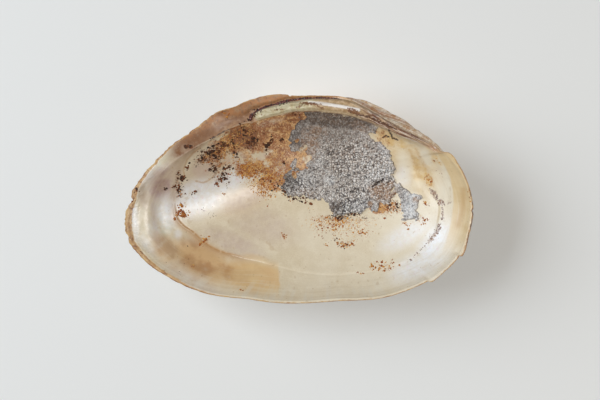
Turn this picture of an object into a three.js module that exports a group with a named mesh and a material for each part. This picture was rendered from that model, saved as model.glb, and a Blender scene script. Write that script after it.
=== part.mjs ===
// One valve of a freshwater clam, lying on its rounded back with the pearly hollow up.
// Millimetres, +Z up. The long axis runs along X with the rounded front end at +X,
// and the hinge side is towards +Y. Z = 0 is the surface that the shell rests on.
import * as THREE from "three";

// Driving dimensions
const LENGTH = 90; // end to end, along X
const PLAN_LENGTH = 89.9; // the length over which the plan points below were set out
const HOLLOW_DEPTH = 14.2; // rim plane down to the deepest point of the hollow
const SHELL_DEPTH = 16.6; // rim plane down to the deepest point of the back
const RIM_THICKNESS = 0.7; // thickness of the free edge
const RIM_SLOPE_X = 0.035; // rise of the rim plane towards the front end
const RIM_SLOPE_Y = 0.055; // rise of the rim plane towards the hinge
const WORN_DEPTH = 0.2; // how far the back is worn flat where it rests
const CRUST_THICKNESS = 0.55;
const CRUST_LUMPS = 0.15; // rise and fall of its gritty top
const CRUST_GAP = 0.3; // clearance between the crust and the pearl under it
const LIGAMENT_WIDTH = 0.6;
const LIGAMENT_GAP = 0.5; // clearance between the ligament and its groove

// Mesh density
const COLUMNS = 88; // around the rim
const FLOOR_ROWS = 15; // deepest point to the basin line
const BORDER_ROWS = 11; // basin line to the rim
const BACK_ROWS = 18; // rim to the beak, three to a growth ridge
const CRUST_COLUMNS = 48;
const CRUST_ROWS = 7;
const LIGAMENT_STEPS = 24;
const LIGAMENT_KNOTS = 12; // points of the curve that it follows

const SCALE = LENGTH / PLAN_LENGTH;
const DEEPEST = [6, 6]; // plan position of the deepest point, centre of all the angles below

// Plan outline of the valve, anticlockwise from the front tip, X and Y
const OUTLINE = [
  [44.9, -4.1], [44.3, 1], [42.8, 5.4], [40.8, 9], [38.7, 11.7], [36.9, 12], [35.8, 13.8],
  [32.5, 16.6], [27.9, 19], [24.1, 21], [21, 23.3], [17.7, 25.3], [13.9, 26.2], [6.5, 26.4],
  [-0.3, 26.3], [-3.8, 26.7], [-10.4, 25.9], [-13.9, 24.8], [-17.1, 23.4], [-21, 22.2],
  [-27.4, 17.5], [-35.1, 11.6], [-38.7, 7.7], [-42.3, 3.2], [-44, -1.3], [-45, -5.6],
  [-44.4, -10.1], [-42.9, -12.9], [-39, -17.2], [-34.3, -20.4], [-24.8, -24.6],
  [-11.9, -26.4], [8.3, -26.8], [24.9, -25], [34.3, -20.9], [39, -17.8], [42.3, -13.4],
];

// Distances in from the outline, each as [angle in degrees about the deepest point, distance]
const BASIN_INSET = [
  [10, 2.4], [18, 4.4], [26, 4.8], [34, 4.3], [44, 4.5], [56, 5.4], [69, 5.2], [83, 4.6],
  [96, 4.1], [109, 4.4], [121, 5.6], [132, 6.3], [151, 6.3], [166, 5.8], [172, 6.9],
  [178, 9.2], [184, 11.8], [195, 13.2], [210, 13.1], [231, 11.7], [251, 9.5], [280, 7.1],
  [315, 6.8], [336, 8.1], [350, 8.6], [2, 5.5],
];
const BOWL_INSET = [
  [356, 0.7], [6, 1.1], [12, 2.2], [18, 3.9], [26, 4.8], [34, 4.3], [44, 4.5], [56, 5.4],
  [69, 5.2], [83, 4.6], [96, 4.1], [109, 4.4], [121, 5.6], [132, 6.3], [151, 6.3], [162, 5.6],
  [170, 4.6], [178, 2.9], [186, 1.2], [194, 0.7], [275, 0.7],
];
const TOOTH_INSET = [
  [0, 0.2], [11, 0.4], [16, 1.5], [23, 2.2], [31, 1.9], [39, 1.7], [50, 2], [60, 2.2],
  [69, 1.5], [80, 1.1], [92, 0.9], [103, 1.2], [114, 2.2], [124, 3.3], [131, 3.5],
  [137, 3.9], [144, 4.6], [152, 4.4], [180, 2], [270, 0.2],
];
const BEAK_OVERHANG = [
  [0, 0], [9, 0.1], [16, 1.4], [23, 2.2], [31, 1.9], [39, 1.7], [50, 2], [60, 2],
  [68, 1.2], [76, 0.4], [84, 0.1], [94, 0], [230, 0],
];

// Shape of the cross-sections: z falls as (1 - fraction ^ fullness) ^ flare
const FULLNESS = [
  [0, 2.1], [25, 2.2], [54, 2.9], [95, 2.5], [140, 2.2], [180, 1.95], [225, 1.9], [285, 2], [330, 2.05],
];
const FLARE = [
  [0, 0.66], [25, 0.58], [54, 0.45], [95, 0.5], [140, 0.6], [180, 0.82], [225, 0.84], [285, 0.76],
  [330, 0.72],
];
const LIP_DROP = [
  [0, 0], [20, 0.6], [60, 0.9], [110, 0.9], [140, 1.6], [160, 2.2], [178, 1.5], [195, 0], [270, 0],
];
const UNDERCUT = [
  [0, 0], [14, 0.2], [35, 1.4], [60, 2.6], [105, 2.8], [135, 1.9], [160, 0.9], [180, 0], [270, 0],
];

const HINGE = { from: 12, to: 141, fade: 3 }; // angles between which the hinge tooth stands
const TOOTH_HEIGHT = 1.1;
const TOOTH_GROOVE = 0.55;
const LIGAMENT_RUN = { from: 76, to: 139 };
const LIGAMENT_GROOVE = 0.75;
const LIGAMENT_OFFSET = 0.85; // outwards from the edge of the tooth
const LIGAMENT_MARGIN = 0.45; // least distance in from the edge of the valve
const FLANGE_DISH = 0.9; // hollow of the wing behind the hinge

// Shallow prints of the muscles on the pearl: centre, half sizes, turn in degrees, depth
const MUSCLE_PRINTS = [
  { at: [34.2, 4.6], half: [3.6, 7.2], turn: 14, depth: 0.55 },
  { at: [28.6, 9.6], half: [1.5, 4.2], turn: 34, depth: 0.45 },
  { at: [-26, 7.6], half: [5.6, 4.6], turn: 50, depth: 0.3 },
];
const PALLIAL_STEP = 0.3;
const BEAK = { turn: 54, share: 0.93 }; // where the growth lines start, on the back
const BEAK_SWELL = 0.55; // how much of its overhang the beak adds to the back
const BEAK_BLEND = 0.965; // share of the way to the rim from which the back follows the true edge
const BACK_FULLER = 0.15; // added to the fullness of the hollow, for the back
const BACK_FLARE = 0.94; // flare of the back as a share of the hollow's
const GROWTH_RIDGES = { rows: 3, height: 0.35 };
const GROWTH_SPREAD = 1.3; // above 1, the rows of the back lie closer together at the rim
const FLOOR_SPREAD = 0.9; // below 1, the rows of the floor lie closer together at the basin line
const TOOTH_MARGIN = 0.15; // least distance of the hinge tooth in from the edge of the valve
const CRUST_REACH = 0.965; // the crust stops at this share of the way to the lip

// Edge of the grey crust about its own centre, as [angle in degrees, radius]
const CRUST_CENTRE = [11.4, 8.6];
const CRUST_EDGE = [
  [0, 14.6], [14, 12.6], [28, 11.4], [36, 12], [44, 13.2], [56, 13], [72, 13.1], [92, 13.7],
  [112, 14.4], [125, 15.2], [138, 15.6], [150, 14.6], [160, 12.8], [170, 11.6], [182, 12.6],
  [196, 16.2], [204, 16.6], [216, 13.2], [234, 10.2], [250, 10.6], [262, 13.6], [280, 13.6],
  [300, 13.2], [318, 13.6], [332, 18.4], [342, 20.8], [350, 20],
];

const radians = THREE.MathUtils.degToRad;
const lerp = THREE.MathUtils.lerp;

function smooth(value, low, high) {
  const t = THREE.MathUtils.clamp((value - low) / (high - low), 0, 1);
  return t * t * (3 - 2 * t);
}

// A smooth closed function of the angle in degrees through [angle, value] knots,
// by cubic steps whose slopes are taken across each knot's neighbours.
function ring(knots) {
  const sorted = knots.map(([a, v]) => [((a % 360) + 360) % 360, v]).sort((p, q) => p[0] - q[0]);
  const n = sorted.length;
  const at = (i) => {
    const turn = Math.floor(i / n);
    const [a, v] = sorted[i - turn * n];
    return [a + 360 * turn, v];
  };
  const slope = (i) => (at(i + 1)[1] - at(i - 1)[1]) / (at(i + 1)[0] - at(i - 1)[0]);
  return (degrees) => {
    const a = ((degrees % 360) + 360) % 360;
    let i = -1;
    while (i + 1 < n && sorted[i + 1][0] <= a) i += 1;
    const [a0, v0] = at(i);
    const [a1, v1] = at(i + 1);
    const span = a1 - a0;
    const t = (a - a0) / span;
    const arrival = t * t * (3 - 2 * t);
    const bend = span * (t * (1 - t) ** 2 * slope(i) - t * t * (1 - t) * slope(i + 1));
    return v0 + arrival * (v1 - v0) + bend;
  };
}

function polar([x, y]) {
  const dx = x - DEEPEST[0];
  const dy = y - DEEPEST[1];
  return [THREE.MathUtils.radToDeg(Math.atan2(dy, dx)), Math.hypot(dx, dy)];
}

const outline = ring(OUTLINE.map(polar));
const basinInset = ring(BASIN_INSET);
const bowlInset = ring(BOWL_INSET);
const toothInset = ring(TOOTH_INSET);
const overhang = ring(BEAK_OVERHANG);
const fullness = ring(FULLNESS);
const flare = ring(FLARE);
const lipDrop = ring(LIP_DROP);
const undercut = ring(UNDERCUT);
const crustEdge = ring(CRUST_EDGE);

const edgeRadius = (a) => outline(a) - Math.max(0, overhang(a));
const basinRadius = (a) => outline(a) - basinInset(a);
const bowlRadius = (a) => Math.min(outline(a) - bowlInset(a), edgeRadius(a) - RIM_THICKNESS);
const toothRadius = (a) => Math.min(outline(a) - toothInset(a), edgeRadius(a) - TOOTH_MARGIN);
const ligamentRadius = (a) => Math.min(toothRadius(a) + LIGAMENT_OFFSET, edgeRadius(a) - LIGAMENT_MARGIN);

// A function of the angle averaged over the turns to both sides, which takes out its small steps
const averaged = (radius, turns) => (a) =>
  turns.reduce((sum, turn) => sum + radius(a + turn), 0) / turns.length;
const softLip = averaged(bowlRadius, [-12, -8, -4, 0, 4, 8, 12]);
const softBack = averaged((a) => outline(a) + BEAK_SWELL * overhang(a), [-15, -10, -5, 0, 5, 10, 15]);

// How far the hinge tooth stands at an angle, 0 to 1: its back end is blunt
const hingeShare = (a) =>
  smooth(a, HINGE.from, HINGE.from + 10) * (1 - smooth(a, HINGE.to - HINGE.fade, HINGE.to));

const plan = (a, r) => [DEEPEST[0] + r * Math.cos(radians(a)), DEEPEST[1] + r * Math.sin(radians(a))];

// Height of the sloping rim plane over the deepest point, with the slight wave of the free edge
function rimHeight(x, y, a, share) {
  const wave = 0.3 * Math.sin(radians(3 * a + 40)) + 0.2 * Math.sin(radians(5 * a));
  return RIM_SLOPE_X * (x - DEEPEST[0]) + RIM_SLOPE_Y * (y - DEEPEST[1]) + wave * share ** 4;
}

// Hollows pressed into the pearl by the muscles, each with a soft rim
function musclePrints(x, y) {
  return MUSCLE_PRINTS.reduce((sum, { at, half, turn, depth }) => {
    const c = Math.cos(radians(turn));
    const s = Math.sin(radians(turn));
    const u = ((x - at[0]) * c + (y - at[1]) * s) / half[0];
    const v = (-(x - at[0]) * s + (y - at[1]) * c) / half[1];
    return sum + depth * (1 - smooth(Math.hypot(u, v), 0.6, 1.05));
  }, 0);
}

// Height of the hinge plate above its own slope, from the lip (r = bowl radius) outwards
function hingeRelief(a, r) {
  const lip = bowlRadius(a);
  const v = (r - lip) / Math.max(toothRadius(a) - lip, 0.3);
  const body = smooth(v, -0.02, 0.3) * (1 - smooth(v, 0.86, 1.06));
  const groovePlace = lerp(0.3, 0.58, smooth(a, 40, 75));
  const groove = Math.exp(-(((v - groovePlace) / 0.13) ** 2)) * (1 - smooth(a, 112, 122));
  const bed = Math.exp(-(((r - ligamentRadius(a)) / 0.55) ** 2));
  const bedStart = smooth(a, LIGAMENT_RUN.from - 4, LIGAMENT_RUN.from + 4);
  const bedEnd = 1 - smooth(a, LIGAMENT_RUN.to + 1, LIGAMENT_RUN.to + 5);
  const tooth = TOOTH_HEIGHT * body - TOOTH_GROOVE * groove;
  return hingeShare(a) * tooth - LIGAMENT_GROOVE * bed * bedStart * bedEnd;
}

// Pearly inner face: a bowl up to its lip, then the hinge plate, the wing and the free edge.
// Under the lip the bowl reaches outwards, which makes the pocket behind the hinge.
function innerPoint(a, r) {
  const lip = bowlRadius(a);
  const edge = edgeRadius(a);
  const drop = lipDrop(a);
  const [x0, y0] = plan(a, r);
  const rim = rimHeight(x0, y0, a, r / edge);
  if (r <= lip) {
    const share = Math.min(r / lerp(softLip(a), lip, smooth(r / lip, 0.7, 1)), 1);
    const depth = (1 - share ** fullness(a)) ** flare(a);
    const reach = undercut(a) * smooth(share, 0.7, 0.93) * (1 - smooth(share, 0.95, 1));
    const step = PALLIAL_STEP * smooth(r - basinRadius(a), -0.9, 0.4) * (1 - smooth(share, 0.8, 0.97));
    const [x, y] = plan(a, r + Math.max(0, reach));
    const z = rim - drop - (HOLLOW_DEPTH - drop) * depth - musclePrints(x0, y0) - step;
    return [x, y, z];
  }
  const v = (r - lip) / Math.max(edge - lip, 0.01);
  const wing = smooth(a, 138, 150) * (1 - smooth(a, 172, 186));
  const dish = FLANGE_DISH * Math.sin(Math.PI * Math.min(v, 1)) * wing;
  const level = drop * (1 - smooth(v, 0, 0.75));
  return [x0, y0, rim - level - dish + hingeRelief(a, r)];
}

// Outline of the back below the rim: fuller at the beak, and without the small steps of the front
function backRadius(a) {
  const turn = THREE.MathUtils.euclideanModulo(a + 180, 360) - 180;
  const share = smooth(turn, -20, 0) * (1 - smooth(turn, 60, 100));
  return lerp(outline(a), softBack(a), share);
}

// Rounded back before its growth ridges: the share is 1 at the rim, 0 under the deepest point
function backPoint(a, share) {
  const [x, y] = plan(a, share * lerp(backRadius(a), edgeRadius(a), smooth(share, BEAK_BLEND, 1)));
  const depth = (1 - share ** (fullness(a) + BACK_FULLER)) ** (flare(a) * BACK_FLARE);
  const bevel = 0.5 * RIM_THICKNESS * smooth(1 - share, 0, 0.02);
  return [x, y, rimHeight(x, y, a, share) - bevel - SHELL_DEPTH * depth];
}

// Growth lines are copies of the rim shrunk towards the beak: the age is 1 at the rim, 0 at the beak
function growthPoint(a, age, ridge) {
  const beakX = BEAK.share * Math.cos(radians(BEAK.turn));
  const beakY = BEAK.share * Math.sin(radians(BEAK.turn));
  const x = lerp(beakX, Math.cos(radians(a)), age);
  const y = lerp(beakY, Math.sin(radians(a)), age);
  const turn = THREE.MathUtils.radToDeg(Math.atan2(y, x));
  return offFace(backPoint, turn, Math.hypot(x, y), -0.01, -ridge);
}

// A point of a face moved off it along its normal, to the side that faces up
function offFace(face, a, r, step, distance) {
  const p = new THREE.Vector3(...face(a, r));
  const along = new THREE.Vector3(...face(a, r + step)).sub(p);
  const round = new THREE.Vector3(...face(a + Math.sign(step), r)).sub(p);
  return p.addScaledVector(along.cross(round).normalize(), distance).toArray();
}

// Angles spaced evenly along the outline, so that the facets are of one size round the rim
function rimAngles(count) {
  const fine = 3600;
  const lengths = [0];
  const point = (i) => plan((i * 360) / fine, outline((i * 360) / fine));
  for (let i = 0; i < fine; i += 1) {
    const [p, q] = [point(i), point(i + 1)];
    lengths.push(lengths[i] + Math.hypot(q[0] - p[0], q[1] - p[1]));
  }
  const step = lengths[fine] / count;
  const angles = [];
  let i = 0;
  for (let k = 0; k < count; k += 1) {
    while (lengths[i + 1] <= k * step) i += 1;
    const t = (k * step - lengths[i]) / (lengths[i + 1] - lengths[i]);
    angles.push(((i + t) * 360) / fine);
  }
  return angles;
}

// Closes rings of points between two pole points into one solid
function solidOfRings(firstPole, rings, lastPole) {
  const n = rings[0].length;
  const points = [firstPole, ...rings.flat(), lastPole];
  const last = points.length - 1;
  const id = (row, column) => 1 + row * n + (column % n);
  const faces = [];
  for (let c = 0; c < n; c += 1) {
    faces.push(0, id(0, c), id(0, c + 1));
    for (let row = 0; row + 1 < rings.length; row += 1) {
      const quad = [id(row, c), id(row + 1, c), id(row + 1, c + 1), id(row, c + 1)];
      faces.push(quad[0], quad[1], quad[2], quad[0], quad[2], quad[3]);
    }
    faces.push(last, id(rings.length - 1, c + 1), id(rings.length - 1, c));
  }
  const geometry = new THREE.BufferGeometry();
  geometry.setAttribute("position", new THREE.Float32BufferAttribute(points.flat(), 3));
  geometry.setIndex(faces);
  geometry.computeVertexNormals();
  return geometry;
}

function valveGeometry() {
  const angles = rimAngles(COLUMNS);
  const rings = [];
  for (let j = 1; j <= FLOOR_ROWS; j += 1) {
    const share = Math.sin((Math.PI / 2) * (j / FLOOR_ROWS)) ** FLOOR_SPREAD;
    rings.push(angles.map((a) => innerPoint(a, basinRadius(a) * share)));
  }
  for (let j = 1; j <= BORDER_ROWS; j += 1) {
    const share = j / BORDER_ROWS;
    rings.push(angles.map((a) => innerPoint(a, lerp(basinRadius(a), edgeRadius(a), share))));
  }
  for (let j = 1; j < BACK_ROWS; j += 1) {
    const age = 1 - (j / BACK_ROWS) ** GROWTH_SPREAD;
    const ridge = 0.5 * GROWTH_RIDGES.height * Math.cos((2 * Math.PI * j) / GROWTH_RIDGES.rows);
    rings.push(angles.map((a) => growthPoint(a, age, ridge * smooth(age, 0.05, 0.8))));
  }
  return solidOfRings(innerPoint(0, 0), rings, growthPoint(0, 0, 0));
}

function crustGeometry() {
  const place = (column, share) => {
    const turn = (column * 360) / CRUST_COLUMNS;
    const reach = crustEdge(turn) * share;
    const x = CRUST_CENTRE[0] + reach * Math.cos(radians(turn));
    const y = CRUST_CENTRE[1] + reach * Math.sin(radians(turn));
    const [a, r] = polar([x, y]);
    return [a, Math.min(r, bowlRadius(a) * CRUST_REACH)];
  };
  const layer = (share, lift) =>
    Array.from({ length: CRUST_COLUMNS }, (_, column) => {
      const [a, r] = place(column, share);
      return offFace(innerPoint, a, r, 0.25, lift(...plan(a, r)));
    });
  const lumps = (x, y) => Math.sin(1.1 * x + 0.5 * y) * Math.sin(1.3 * y - 0.4 * x);
  const top = (x, y) => CRUST_GAP + CRUST_THICKNESS + CRUST_LUMPS * lumps(x, y);
  const shares = Array.from({ length: CRUST_ROWS }, (_, j) => (j + 1) / CRUST_ROWS);
  const rings = [
    ...shares.map((share) => layer(share, top)),
    ...[...shares].reverse().map((share) => layer(share, () => CRUST_GAP)),
  ];
  const [a, r] = polar(CRUST_CENTRE);
  const pole = (distance) => offFace(innerPoint, a, r, 0.25, distance);
  return solidOfRings(pole(top(...CRUST_CENTRE)), rings, pole(CRUST_GAP));
}

// The dried ligament: a thin strip lying in the groove above the hinge tooth
function ligamentGeometry() {
  const path = [];
  for (let i = 0; i <= LIGAMENT_KNOTS; i += 1) {
    const a = lerp(LIGAMENT_RUN.from, LIGAMENT_RUN.to, i / LIGAMENT_KNOTS);
    const [x, y, z] = innerPoint(a, ligamentRadius(a) + 0.1);
    path.push(new THREE.Vector3(x, y, z + LIGAMENT_GAP + LIGAMENT_WIDTH / 2));
  }
  const section = new THREE.Shape();
  section.absarc(0, 0, LIGAMENT_WIDTH / 2, 0, 2 * Math.PI);
  return new THREE.ExtrudeGeometry(section, {
    extrudePath: new THREE.CatmullRomCurve3(path),
    steps: LIGAMENT_STEPS,
    curveSegments: 3,
    bevelEnabled: false,
  });
}

// Moves the pieces so that the valve stands on Z = 0 with its box centred, worn flat where it rests
function settle(pieces, valve) {
  pieces.forEach((geometry) => geometry.scale(SCALE, SCALE, SCALE));
  valve.computeBoundingBox();
  const { min, max } = valve.boundingBox;
  const floor = min.z + WORN_DEPTH;
  pieces.forEach((geometry) => geometry.translate(-(min.x + max.x) / 2, -(min.y + max.y) / 2, -floor));
  const position = valve.getAttribute("position");
  for (let i = 0; i < position.count; i += 1) position.setZ(i, Math.max(0, position.getZ(i)));
  valve.computeVertexNormals();
}

function piece(name, geometry, colour, roughness) {
  const material = new THREE.MeshStandardMaterial({ color: colour, roughness, metalness: 0 });
  const mesh = new THREE.Mesh(geometry, material);
  mesh.name = name;
  return mesh;
}

const valve = valveGeometry();
const crust = crustGeometry();
const ligament = ligamentGeometry();
settle([valve, crust, ligament], valve);

const clamShell = new THREE.Group();
clamShell.add(
  piece("valve", valve, 0xe6dcc4, 0.3),
  piece("grey_crust", crust, 0x85858a, 0.9),
  piece("ligament_remnant", ligament, 0x3a1d16, 0.7),
);

export default clamShell;
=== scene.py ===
"""One valve of a freshwater clam, hollow up, with the grey crust that is stuck in it."""

import bpy
import numpy as np
from bpy.props import FloatProperty, FloatVectorProperty, IntProperty, PointerProperty
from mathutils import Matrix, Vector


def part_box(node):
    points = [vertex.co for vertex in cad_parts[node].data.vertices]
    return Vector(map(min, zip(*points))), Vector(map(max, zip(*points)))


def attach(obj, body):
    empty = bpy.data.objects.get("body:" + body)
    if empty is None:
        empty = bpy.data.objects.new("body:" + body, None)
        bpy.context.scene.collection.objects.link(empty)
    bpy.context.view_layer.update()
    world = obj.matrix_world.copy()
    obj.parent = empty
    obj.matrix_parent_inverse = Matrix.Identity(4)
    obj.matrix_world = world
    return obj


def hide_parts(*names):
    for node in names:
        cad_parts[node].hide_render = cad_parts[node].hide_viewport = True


bl_info = {
    "name": "Clam valve",
    "version": (1, 0, 0),
    "blender": (4, 5, 0),
    "location": "3D View > Sidebar > Clam",
    "description": "Builds the pearly valve of a freshwater clam with its crust and stains",
    "category": "Object",
}

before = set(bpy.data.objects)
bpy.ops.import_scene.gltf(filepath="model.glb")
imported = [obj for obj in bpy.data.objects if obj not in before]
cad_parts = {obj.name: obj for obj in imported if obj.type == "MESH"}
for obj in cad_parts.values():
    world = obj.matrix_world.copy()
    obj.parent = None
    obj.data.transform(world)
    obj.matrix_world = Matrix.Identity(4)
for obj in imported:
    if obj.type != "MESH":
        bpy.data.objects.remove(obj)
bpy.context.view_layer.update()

BODY = "root"
MM = 0.001  # the shapes below are worked out in millimetres and put into the meshes in metres

# How the photograph sees the shell, in millimetres: the middle of its view and the camera's distance
VIEW_CENTRE = (0.258, -0.516)
VIEW_DISTANCE = 430.0
RIM_LEVEL = 17.0

# The valve's plan, in millimetres, as the solid has it
PLAN_LENGTH = 89.9
DEEPEST = (6.0, 6.0)
RIM_SLOPE = (0.035, 0.055)
RIM_THICKNESS = 0.7
OUTLINE = [
    (44.9, -4.1), (44.3, 1), (42.8, 5.4), (40.8, 9), (38.7, 11.7), (36.9, 12), (35.8, 13.8),
    (32.5, 16.6), (27.9, 19), (24.1, 21), (21, 23.3), (17.7, 25.3), (13.9, 26.2), (6.5, 26.4),
    (-0.3, 26.3), (-3.8, 26.7), (-10.4, 25.9), (-13.9, 24.8), (-17.1, 23.4), (-21, 22.2),
    (-27.4, 17.5), (-35.1, 11.6), (-38.7, 7.7), (-42.3, 3.2), (-44, -1.3), (-45, -5.6),
    (-44.4, -10.1), (-42.9, -12.9), (-39, -17.2), (-34.3, -20.4), (-24.8, -24.6),
    (-11.9, -26.4), (8.3, -26.8), (24.9, -25), (34.3, -20.9), (39, -17.8), (42.3, -13.4),
]

# Distances in from the outline: (angle in degrees about the deepest point, millimetres)
BASIN_INSET = [
    (10, 2.4), (18, 4.4), (26, 4.8), (34, 4.3), (44, 4.5), (56, 5.4), (69, 5.2), (83, 4.6),
    (96, 4.1), (109, 4.4), (121, 5.6), (132, 6.3), (151, 6.3), (166, 5.8), (172, 6.9),
    (178, 9.2), (184, 11.8), (195, 13.2), (210, 13.1), (231, 11.7), (251, 9.5), (280, 7.1),
    (315, 6.8), (336, 8.1), (350, 8.6), (2, 5.5),
]
BOWL_INSET = [
    (356, 0.7), (6, 1.1), (12, 2.2), (18, 3.9), (26, 4.8), (34, 4.3), (44, 4.5), (56, 5.4),
    (69, 5.2), (83, 4.6), (96, 4.1), (109, 4.4), (121, 5.6), (132, 6.3), (151, 6.3), (162, 5.6),
    (170, 4.6), (178, 2.9), (186, 1.2), (194, 0.7), (275, 0.7),
]
TOOTH_INSET = [
    (0, 0.2), (11, 0.4), (16, 1.5), (23, 2.2), (31, 1.9), (39, 1.7), (50, 2), (60, 2.2),
    (69, 1.5), (80, 1.1), (92, 0.9), (103, 1.2), (114, 2.2), (124, 3.3), (131, 3.5),
    (137, 3.9), (144, 4.6), (152, 4.4), (180, 2), (270, 0.2),
]
BEAK_OVERHANG = [
    (0, 0), (9, 0.1), (16, 1.4), (23, 2.2), (31, 1.9), (39, 1.7), (50, 2), (60, 2),
    (68, 1.2), (76, 0.4), (84, 0.1), (94, 0), (230, 0),
]
PALLIAL_PATH = [
    (-32.8, 0.8), (-32.6, -2.6), (-32.0, -5.4), (-30.2, -7.5), (-28.1, -8.9), (-25.5, -11.4),
    (-22.4, -13.4), (-19.9, -14.4), (-17.3, -15.1), (-13.9, -16.0), (-10.8, -16.6), (-7.5, -17.5),
    (-4.1, -18.3), (1.5, -19.6), (5.4, -20.0), (10.6, -20.1), (14.7, -19.7), (19.6, -19.2),
    (24.8, -17.8), (28.6, -16.5), (31.5, -14.4), (33.0, -12.6), (34.1, -11.4), (35.3, -9.8),
    (36.1, -7.7), (36.6, -5.2), (36.9, -2.6), (36.4, -1.0), (35.3, 0.8), (34.1, 2.1),
]
RIM_WIDTH = [  # how wide the brown edge shows, by the angle
    (0, 0.35), (10, 0.3), (20, 0.2), (70, 0.15), (108, 0.3), (140, 0.3), (160, 0.45), (170, 0.6),
    (182, 1.1), (192, 1.7), (200, 1.3), (210, 0.95), (222, 0.5), (240, 0.28), (300, 0.2), (318, 0.2),
    (332, 0.4), (345, 0.45),
]

# Shape of the cross-sections: z falls as (1 - fraction ** fullness) ** flare
FULLNESS = [
    (0, 2.1), (25, 2.2), (54, 2.9), (95, 2.5), (140, 2.2), (180, 1.95), (225, 1.9), (285, 2),
    (330, 2.05),
]
FLARE = [
    (0, 0.66), (25, 0.58), (54, 0.45), (95, 0.5), (140, 0.6), (180, 0.82), (225, 0.84),
    (285, 0.76), (330, 0.72),
]
LIP_DROP = [
    (0, 0), (20, 0.6), (60, 0.9), (110, 0.9), (136, 1.4), (148, 1.3), (158, 0.8), (170, 0.3), (182, 0.1),
    (195, 0), (270, 0),
]
UNDERCUT = [
    (0, 0), (14, 0.2), (35, 1.4), (60, 2.6), (105, 2.8), (135, 1.9), (160, 0.9), (180, 0), (270, 0),
]

HINGE = {"from": 12, "to": 141, "fade": 3}
TOOTH_HEIGHT = 1.1
TOOTH_GROOVE = 0.3
LIGAMENT_RUN = {"from": 76, "to": 139}
LIGAMENT_GROOVE = 0.75
LIGAMENT_OFFSET = 0.85
LIGAMENT_MARGIN = 0.45
FLANGE_DISH = 0.9
MUSCLE_PRINTS = [
    {"at": (34.2, 4.6), "half": (3.6, 7.2), "turn": 14, "depth": 0.55},
    {"at": (28.6, 9.6), "half": (1.5, 4.2), "turn": 34, "depth": 0.45},
    {"at": (-26, 7.6), "half": (5.6, 4.6), "turn": 50, "depth": 0.12},
]
# How much softer the bowl's lip is by its two ends, at an angle and over a width in degrees
TAIL_FLARE = {"at": 166, "wide": 18, "more": 0.62}
FRONT_FLARE = {"at": 13, "wide": 9, "more": 0.35}
PALLIAL_STEP = 0.3
BEAK = {"turn": 54, "share": 0.93}
BEAK_SWELL = 0.55
GROWTH_RIDGE_COUNT = 6
GROWTH_SPREAD = 1.3

BASIN_MARGIN = 1.6  # how far inside the basin's line the rings draw closer together

# Finer shapes that only the dense surface carries
NICKS = [  # steps and chips in the edge: angle, reach in degrees, millimetres
    {"at": 112.2, "wide": 0.5, "deep": 0.6},
    {"at": 187.6, "wide": 1.0, "deep": 0.55},
    {"at": 197.5, "wide": 0.8, "deep": 0.3},
    {"at": 172.0, "wide": 0.8, "deep": 0.35},
    {"at": 163.0, "wide": 0.6, "deep": 0.3},
    {"at": 346.5, "wide": 0.5, "deep": 0.35},
]
CHIPS = [  # the edge stands out just past each angle and comes back over the reach
    {"at": 329.6, "reach": 9, "out": 0.7},
    {"at": 315.2, "reach": 8, "out": 0.75},
]
FRAYED = [  # how ragged the edge is, in millimetres, by the angle
    (0, 0.05), (60, 0.04), (100, 0.12), (140, 0.16), (165, 0.35), (185, 0.5), (200, 0.3), (225, 0.08),
    (300, 0.05),
]
TAIL_SWELL = {"at": 194, "wide": 9, "out": 0.35}

# The crust's edge in plan, in millimetres
CRUST_CENTRE = (11.4, 8.6)
CRUST_OUTLINE = [
    (1.3, 22.4), (5.3, 22.3), (9.8, 21.7), (13.9, 21), (16.8, 20.3), (19, 19.3), (20.3, 18.1),
    (19.9, 17.1), (18.3, 16.5), (18.2, 15.4), (19.5, 14.7), (21.3, 14.5), (22, 13.4), (23.3, 12.2),
    (24.2, 10.8), (24.3, 8.8), (24.8, 7.4), (24, 6.2), (25.3, 4.2), (26.8, 3.1), (28.5, 1.4), (29.9, 1.4),
    (31.5, 0.1), (30.8, -1), (30.5, -1.8), (30.8, -3.6), (30.8, -5.5), (30.2, -6), (26.8, -5.5),
    (27.1, -3.9), (26.2, -2.4), (25.5, -0.7), (25.2, 0.9), (24, 0.1), (22.8, -1.5), (21.1, -1.2),
    (19.9, -3.4), (18.8, -3.3), (18.2, -2.4), (16.8, -2.7), (15.9, -4.4), (13.9, -3.9), (11, -4.4),
    (8.7, -4.8), (7.8, -2.7), (7.8, -1.2), (6.1, -0.4), (3.8, 0.1), (1.8, 0.2), (-0.5, 0.6), (-2.5, 1.3),
    (-4.7, 2.6), (-3.9, 4.2), (-3.6, 6.2), (-2.5, 7.9), (-1, 9.6), (-0.4, 8.3), (-0.3, 7), (1, 6.8),
    (2.4, 8), (1.8, 8.5), (3.3, 10.5), (2.1, 12.2), (0.4, 12.5), (-0.8, 11.9), (-1.9, 12.5), (-2.5, 13.4),
    (-1.8, 14.3), (-2.7, 15.1), (-2.1, 16.3), (-1.9, 17.4), (-1.3, 18.8), (0.4, 20.3), (1.3, 20.7),
]


def smooth(value, low, high):
    """A soft step from 0 at low to 1 at high: 3 t squared minus 2 t cubed."""
    t = np.clip((value - low) / (high - low), 0, 1)
    return t * t * (3 - 2 * t)


def bell(value, width):
    """1 where the value is nothing, falling off as e to the minus (value over width) squared."""
    return np.exp(-((value / width) ** 2))


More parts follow.
